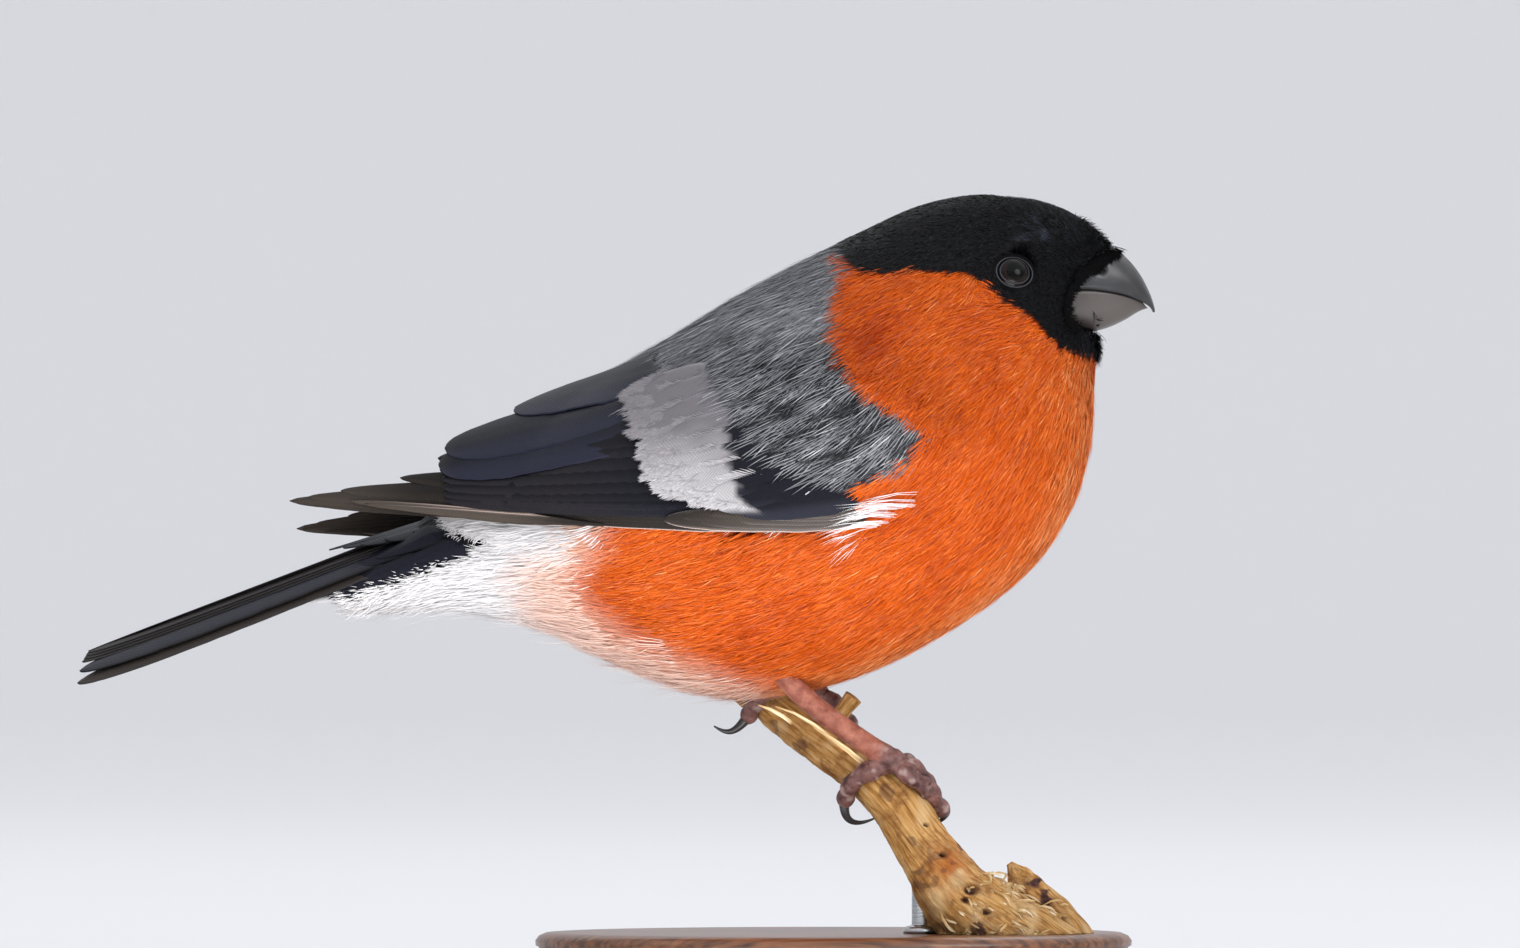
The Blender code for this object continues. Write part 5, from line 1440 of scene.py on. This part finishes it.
# Legs. Each toe by its places on the branch: how far along from the foot, the angle round it from the
# foot, and the lift over the wood. The last place is the claw's tip.
TOES = (
    ("inner", ((0.0, 0.0, 1.7), (0.02, 0.5, 1.5), (0.06, 1.0, 1.3), (0.12, 1.6, 1.1)), (0.16, 2.6)),
    ("middle", ((0.0, 0.0, 1.7), (0.18, 0.45, 1.7), (0.36, 1.0, 1.4), (0.5, 1.65, 1.2)), (0.56, 2.75)),
    ("outer", ((0.0, 0.0, 1.7), (0.25, 0.1, 1.6), (0.56, 0.5, 1.4), (0.8, 1.1, 1.2)), (0.9, 2.15)),
    ("hind", ((0.0, 0.0, 1.7), (-0.14, -0.7, 1.5), (-0.26, -1.3, 1.4), (-0.32, -1.85, 1.4)), (0.1, -2.9)),
)
FEET = {-1: (3.55, -0.35), 1: (1.2, -0.1)}
SHINS = {-1: ((20.5, -10.4, 49.5), (28.2, -9.9, 41.4)), 1: ((17.5, 11.6, 52.6), (22.6, 8.6, 47.4))}
FREE_CLAW, FREE_CLAW_TIP, FREE_CLAW_SAG = (1, "hind"), (13.9, 6.6, 38.3), 1.5


def leg_material():
    """Scaled skin of a bird's leg: reddish brown, purple on the toes, with pale worn scale edges."""
    made, tree, shader = new_material("scaled_leg_skin", Roughness=0.5, Specular_IOR_Level=0.35)
    place = add(tree, "TexCoord").outputs["Object"]
    blotch = add(tree, "TexNoise", {"Vector": place, "Scale": 1 / 0.0016, "Detail": 4.0})
    shin = add(tree, "ValToRGB", {0: blotch.outputs[0]}, stops=((0.3, "#7a3a2c"), (0.7, "#b0705a")))
    toe = add(tree, "ValToRGB", {0: blotch.outputs[0]}, stops=((0.3, "#472a29"), (0.7, "#8a625b")))
    colour = blended(tree, value_of(tree, "toe"), shin.outputs[0], toe.outputs[0])
    colour = blended(tree, value_of(tree, "worn"), colour, srgb("#b39c96"))
    colour = blended(tree, value_of(tree, "seam"), colour, srgb("#35201f"))
    tree.links.new(colour, shader.inputs["Base Color"])
    scales = add(tree, "TexVoronoi", {"Vector": place, "Scale": 1 / 0.00055}, feature="DISTANCE_TO_EDGE")
    edge = add(tree, "MapRange", {0: scales.outputs[0], 1: 0.0, 2: 0.12, 3: 0.0, 4: 1.0})
    bump = add(tree, "Bump", {"Height": edge.outputs[0], "Strength": 0.5, "Distance": 0.00008})
    tree.links.new(bump.outputs[0], shader.inputs["Normal"])
    return made


LEG_SKIN = leg_material()


def toe_line(side, places, steps):
    """A toe's axis on the branch and its radius, swelling at the joints' pads."""
    at, turn = FEET[side]
    table = np.array(places)
    knots = branch_skin(at + table[:, 0], turn + table[:, 1], table[:, 2])
    share = np.linspace(0, 1, steps)
    radius = 1.36 - 0.26 * share + 0.17 * np.cos(6 * np.pi * share)
    return curve(knots, share * (len(knots) - 1)), radius


def tube_points(path, radius, around):
    """Rings round an axis with rounded ends."""
    ahead = unit(np.gradient(path, axis=0))
    side = unit(np.cross(ahead, np.array([0.3, 0.5, 0.8])))
    other = np.cross(ahead, side)
    angle = np.arange(around) / around * 2 * np.pi
    circle = side[:, None] * np.cos(angle)[:, None] + other[:, None] * np.sin(angle)[:, None]
    return path[:, None] + circle * radius[:, None, None]


def capped(path, radius):
    """The axis and radii with half a ball added to each end."""
    cap = np.linspace(0, np.pi / 2, 7)[:-1]
    first, last = unit(path[0] - path[1]), unit(path[-1] - path[-2])
    head = path[0] + first * (radius[0] * np.cos(cap))[:, None]
    tail_end = path[-1] + last * (radius[-1] * np.sin(cap[1:]))[:, None]
    ends = radius[0] * np.maximum(np.sin(cap), 0.08), radius[-1] * np.cos(cap[1:])
    return np.concatenate([head, path, tail_end]), np.concatenate([ends[0], radius, ends[1]])


def leg(side, word):
    """Shin, foot and toes as one skin, fused from tubes, with scales over the toes and pads under."""
    at, turn = FEET[side]
    foot = branch_skin(at, turn, 1.9)
    shin = curve(np.array([*SHINS[side], foot]), np.linspace(0, 2, 60))
    lines = [(shin, 1.52 + 0.25 * smooth(np.linspace(0, 1, 60), 0.8, 1.0))]
    lines += [toe_line(side, places, 60) for _, places, _ in TOES]
    points, faces, first = [], [], 0
    for path, radius in lines:
        rings = tube_points(*capped(path, radius), 28)
        points.append(rings.reshape(-1, 3))
        faces += [(np.asarray(group) + first).tolist() for group in loft_faces(len(rings), 28)]
        first += rings.shape[0] * 28
    mesh = bpy.data.meshes.new("leg_tubes")
    mesh.from_pydata(np.concatenate(points).tolist(), [], [face for group in faces for face in group])
    tubes = bpy.data.objects.new("leg_tubes", mesh)
    bpy.context.scene.collection.objects.link(tubes)
    skin = tubes.modifiers.new("one_skin", "REMESH")
    skin.mode, skin.voxel_size = "VOXEL", 0.17
    soft = tubes.modifiers.new("soft_joints", "SMOOTH")
    soft.factor, soft.iterations = 0.5, 8
    done = tubes.evaluated_get(bpy.context.evaluated_depsgraph_get()).to_mesh()
    spots = np.empty(len(done.vertices) * 3, np.float32)
    normals = np.empty(len(done.vertices) * 3, np.float32)
    corners = np.empty(len(done.loops), np.int32)
    done.vertices.foreach_get("co", spots)
    done.vertex_normals.foreach_get("vector", normals)
    done.loops.foreach_get("vertex_index", corners)
    spots, normals = spots.reshape(-1, 3).astype(float), normals.reshape(-1, 3).astype(float)
    bpy.data.objects.remove(tubes)
    axes = np.concatenate([path for path, _ in lines])
    runs = np.concatenate([
        np.cumsum(np.linalg.norm(np.diff(path, axis=0, prepend=path[:1]), axis=-1)) for path, _ in lines
    ])
    on_toe = np.repeat([0.0] + [1.0] * 4, 60)
    near = np.concatenate([
        np.argmin(((part[:, None] - axes[None]) ** 2).sum(-1), axis=1) for part in np.array_split(spots, 40)
    ])
    run, toe = runs[near], on_toe[near]
    toe = np.maximum(toe, smooth(np.linalg.norm(spots - foot, axis=-1), 3.6, 2.0))
    step = 1.15
    band = (run / step + 0.15 * lumps(spots, 1.5, 33)) % 1.0
    scale = np.sin(np.pi * band) ** 0.4
    pads = lumps(spots, 1.25, 31) + 0.5 * lumps(spots, 0.6, 32)
    height = toe * (0.10 * scale + 0.15 * pads) + (1 - toe) * (0.03 * scale + 0.03 * pads)
    seam = smooth(scale, 0.45, 0.15) * (0.25 + 0.45 * toe)
    worn = np.clip(smooth(pads, 0.25, 0.9) * 0.5 * toe + 0.15 * smooth(pads, 0.3, 0.9), 0, 1)
    make_piece(
        "scaled_leg_" + word, spots + normals * height[:, None], [corners.reshape(-1, 4)], LEG_SKIN,
        replaces=("leg_" + word,), slot="leg_skin", toe=toe, seam=seam, worn=worn,
    )


def claws(side, word):
    """A claw on each toe: deep at its root, curved, pointed, with a blunt keel along its back."""
    at, turn = FEET[side]
    t = np.linspace(0, 1, 44)
    for toe, places, tip in TOES:
        path, _ = toe_line(side, places, 60)
        end = path[-1]
        away = unit(path[-1] - path[-2]) * 0.35
        along, angle, lift = places[-1]
        rise = mix(lift, 0.4, t) + 1.7 * np.sin(np.pi * t)
        axis = branch_skin(at + mix(along, tip[0], t), turn + mix(angle, tip[1], t), rise)
        axis = axis + away * (1 - t)[:, None]
        if (side, toe) == FREE_CLAW:
            sag = join(0 * t, 0 * t, FREE_CLAW_SAG * np.sin(np.pi * t))
            axis = mix(end, np.array(FREE_CLAW_TIP), t[:, None]) - sag
        radius = mix(0.80, 0.10, t**0.8)
        ahead = unit(np.gradient(axis, axis=0))
        middle = axis.mean(0) - axis
        deep = unit(middle - ahead * (middle * ahead).sum(-1, keepdims=True))
        deep = unit(deep + unit(axis[0] + axis[-1] - 2 * axis[len(axis) // 2]) * 2.0)
        deep = unit(deep - ahead * (deep * ahead).sum(-1, keepdims=True))
        wide = np.cross(ahead, deep)
        ring = np.arange(28) / 28 * 2 * np.pi
        outer = np.maximum(-np.cos(ring), 0)
        across = 0.82 * np.sin(ring) * (1 - 0.25 * outer**3)
        points = axis[:, None] + radius[:, None, None] * (
            deep[:, None] * (1.12 * np.cos(ring))[:, None] + wide[:, None] * across[:, None]
        )
        light = 0.10 + 0.25 * smooth(t, 0.25, 0.0)[:, None] * np.ones(28)
        make_piece(
            f"claw_of_{word}_{toe}", points, loft_faces(len(t), 28), HORN,
            replaces=(f"claw_{word}_{toe}",), slot="horn", light=light,
            dark=0.35 * smooth(t, 0.4, 1.0)[:, None] * np.ones(28),
        )


# Display stand.
BASE_CENTRE, BASE_HALF_LENGTH, BASE_HALF_DEPTH = 31.0, 43.0, 31.0
# Profile of the turned edge from the underside: share of the half sizes given up in millimetres, height.
BASE_PROFILE = (
    (1.2, 0.0), (0.5, 0.15), (0.1, 0.7), (0.0, 1.6), (0.0, 5.6), (0.25, 6.2), (0.9, 6.5), (0.9, 6.9),
    (0.45, 7.1), (0.4, 7.8), (0.9, 8.5), (1.9, 8.92), (3.2, 9.0), (12.0, 9.0), (22.0, 9.0), (30.0, 9.0),
)
ROD_AT, ROD_RADIUS, ROD_TOP = (43.4, -8.8), 1.3, 23.4


def timber_material():
    """Turned hardwood with brown stain and satin lacquer: grain lines about 0.8 mm apart, run along X."""
    made, tree, shader = new_material("stained_lacquered_hardwood", Roughness=0.34, Coat_Weight=0.25,
                                      Coat_Roughness=0.2)
    place = add(tree, "TexCoord").outputs["Object"]
    drawn = add(tree, "Mapping", {"Vector": place, "Scale": (1 / 0.016, 1 / 0.0008, 1 / 0.0011)})
    grain = add(tree, "TexNoise", {"Vector": drawn.outputs[0], "Scale": 1.0, "Detail": 4.0, "Distortion": 0.3})
    colour = add(tree, "ValToRGB", {0: grain.outputs[0]}, stops=(
        (0.30, "#3f2417"), (0.48, "#6a4128"), (0.66, "#87583a"),
    ))
    slow = add(tree, "TexNoise", {"Vector": place, "Scale": 1 / 0.02, "Detail": 2.0})
    shade = add(tree, "MapRange", {0: slow.outputs[0], 1: 0.3, 2: 0.7, 3: 0.82, 4: 1.08})
    tinted = add(tree, "Mix", {0: 1.0, 6: colour.outputs[0], 7: shade.outputs[0]}, data_type="RGBA",
                 blend_type="MULTIPLY")
    tree.links.new(tinted.outputs[2], shader.inputs["Base Color"])
    pores = add(tree, "Bump", {"Height": grain.outputs[0], "Strength": 0.15, "Distance": 0.0001})
    tree.links.new(pores.outputs[0], shader.inputs["Normal"])
    return made


def steel_material():
    """Stainless rod with a satin finish, brushed round in lines about 0.1 mm apart."""
    made, tree, shader = new_material("satin_stainless_steel", Metallic=1.0)
    place = add(tree, "TexCoord").outputs["Object"]
    drawn = add(tree, "Mapping", {"Vector": place, "Scale": (1 / 0.004, 1 / 0.004, 1 / 0.0001)})
    brush = add(tree, "TexNoise", {"Vector": drawn.outputs[0], "Scale": 1.0, "Detail": 3.0})
    colour = add(tree, "ValToRGB", {0: brush.outputs[0]}, stops=((0.3, "#9a9da0"), (0.7, "#c3c5c7")))
    rough = add(tree, "MapRange", {0: brush.outputs[0], 1: 0.3, 2: 0.7, 3: 0.24, 4: 0.38})
    tree.links.new(colour.outputs[0], shader.inputs["Base Color"])
    tree.links.new(rough.outputs[0], shader.inputs["Roughness"])
    return made


def stand():
    """The oval base with a turned edge, and the rod with its collar that holds the branch."""
    around = 240
    angle = np.arange(around) / around * 2 * np.pi
    profile = np.array(BASE_PROFILE)
    given, height = profile[:, 0][:, None], profile[:, 1][:, None]
    points = join(
        BASE_CENTRE + (BASE_HALF_LENGTH - given) * np.cos(angle),
        (BASE_HALF_DEPTH - given) * np.sin(angle),
        height + 0 * angle,
    )
    make_piece(
        "stand_turned_base", points, loft_faces(len(profile), around), timber_material(),
        replaces=("stand_base",), slot="stained_timber",
    )
    profile = np.array((
        (2.5, 9.0), (2.5, 9.5), (2.3, 9.9), (1.9, 10.1), (1.35, 10.2), (ROD_RADIUS, 10.4),
        (ROD_RADIUS, 16.0), (ROD_RADIUS, 22.9), (1.1, ROD_TOP),
    ))
    angle = np.arange(64) / 64 * 2 * np.pi
    points = join(
        ROD_AT[0] + profile[:, :1] * np.cos(angle), ROD_AT[1] + profile[:, :1] * np.sin(angle),
        profile[:, 1:] + 0 * angle,
    )
    make_piece(
        "stand_steel_rod", points, loft_faces(len(profile), 64), steel_material(),
        replaces=("stand_rod",), slot="satin_steel",
    )


make_skin()
coat(STYLES, "coat")
coat(FANS, "fans")
wing(-1, "right")
wing(1, "left")
bar_fringes(-1, "right")
bar_fringes(1, "left")
wisps(-1, "right")
wisps(1, "left")
tail()
bill()
eyes()
bristles()
perch()
for side, word in ((-1, "right"), (1, "left")):
    leg(side, word)
    claws(side, word)
stand()


# Floor, light and camera.
def stage():
    """A wide round floor, pale and plain, that curves up far outside into a low wall, with soft light
    from the bright room above it and three large lamps."""
    made, _, shader = new_material("pale_paper_floor", Roughness=0.95, Specular_IOR_Level=0.1)
    shader.inputs["Base Color"].default_value = srgb("#e0e0e2")
    angle = np.radians(np.arange(0, 91, 6))
    away = np.concatenate([[0.02, 1.5, 2.8], 2.8 + 1.6 * np.sin(angle[1:]), [4.4]])
    height = np.concatenate([[0.0, 0.0, 0.0], 1.6 * (1 - np.cos(angle[1:])), [2.6]])
    turn = np.arange(96) / 96 * 2 * np.pi
    points = join(away[:, None] * np.cos(turn), away[:, None] * np.sin(turn), height[:, None] + 0 * turn)
    faces = [*grid_faces(len(away), 96, closed=True).tolist(), list(range(95, -1, -1))]
    mesh = bpy.data.meshes.new("floor")
    mesh.from_pydata(points.reshape(-1, 3).tolist(), [], faces)
    mesh.shade_smooth()
    mesh.materials.append(made)
    floor = bpy.data.objects.new("floor", mesh)
    bpy.context.scene.collection.objects.link(floor)
    for name, place, size, power in (
        ("key", (1.0, -1.1, 0.8), 0.9, 8.0),
        ("bounce", (0.03, -0.16, 0.002), 0.20, 0.5),
        ("back", (0.1, 0.7, 1.0), 0.8, 1.6),
    ):
        lamp = bpy.data.lights.new(name, "AREA")
        lamp.shape, lamp.size, lamp.energy = "DISK", size, power
        holder = bpy.data.objects.new(name, lamp)
        holder.location = place
        aim = Vector((0.02, 0.0, 0.07)) - holder.location
        if name == "bounce":
            aim = Vector((0.0, 0.0, 1.0))
        holder.rotation_euler = aim.to_track_quat("-Z", "Y").to_euler()
        holder.visible_camera = False
        bpy.context.scene.collection.objects.link(holder)
    world = bpy.data.worlds.new("soft_grey_room")
    world.use_nodes = True
    world.node_tree.nodes["Background"].inputs[0].default_value = srgb("#e9ebee")
    world.node_tree.nodes["Background"].inputs[1].default_value = 1.3
    bpy.context.scene.world = world


def make_camera():
    """The photograph's level side view. One millimetre is 7 of its pixels at the bird."""
    lens = bpy.data.cameras.new("camera")
    lens.lens, lens.sensor_width = 400.0, 36.0
    lens.clip_end = 20.0
    camera = bpy.data.objects.new("camera", lens)
    camera.location = (0.0205, -2.412, 0.0744)
    camera.rotation_euler = (math.radians(90), 0, 0)
    bpy.context.scene.collection.objects.link(camera)
    bpy.context.scene.camera = camera


stage()
make_camera()
bpy.context.scene.view_settings.view_transform = "Standard"
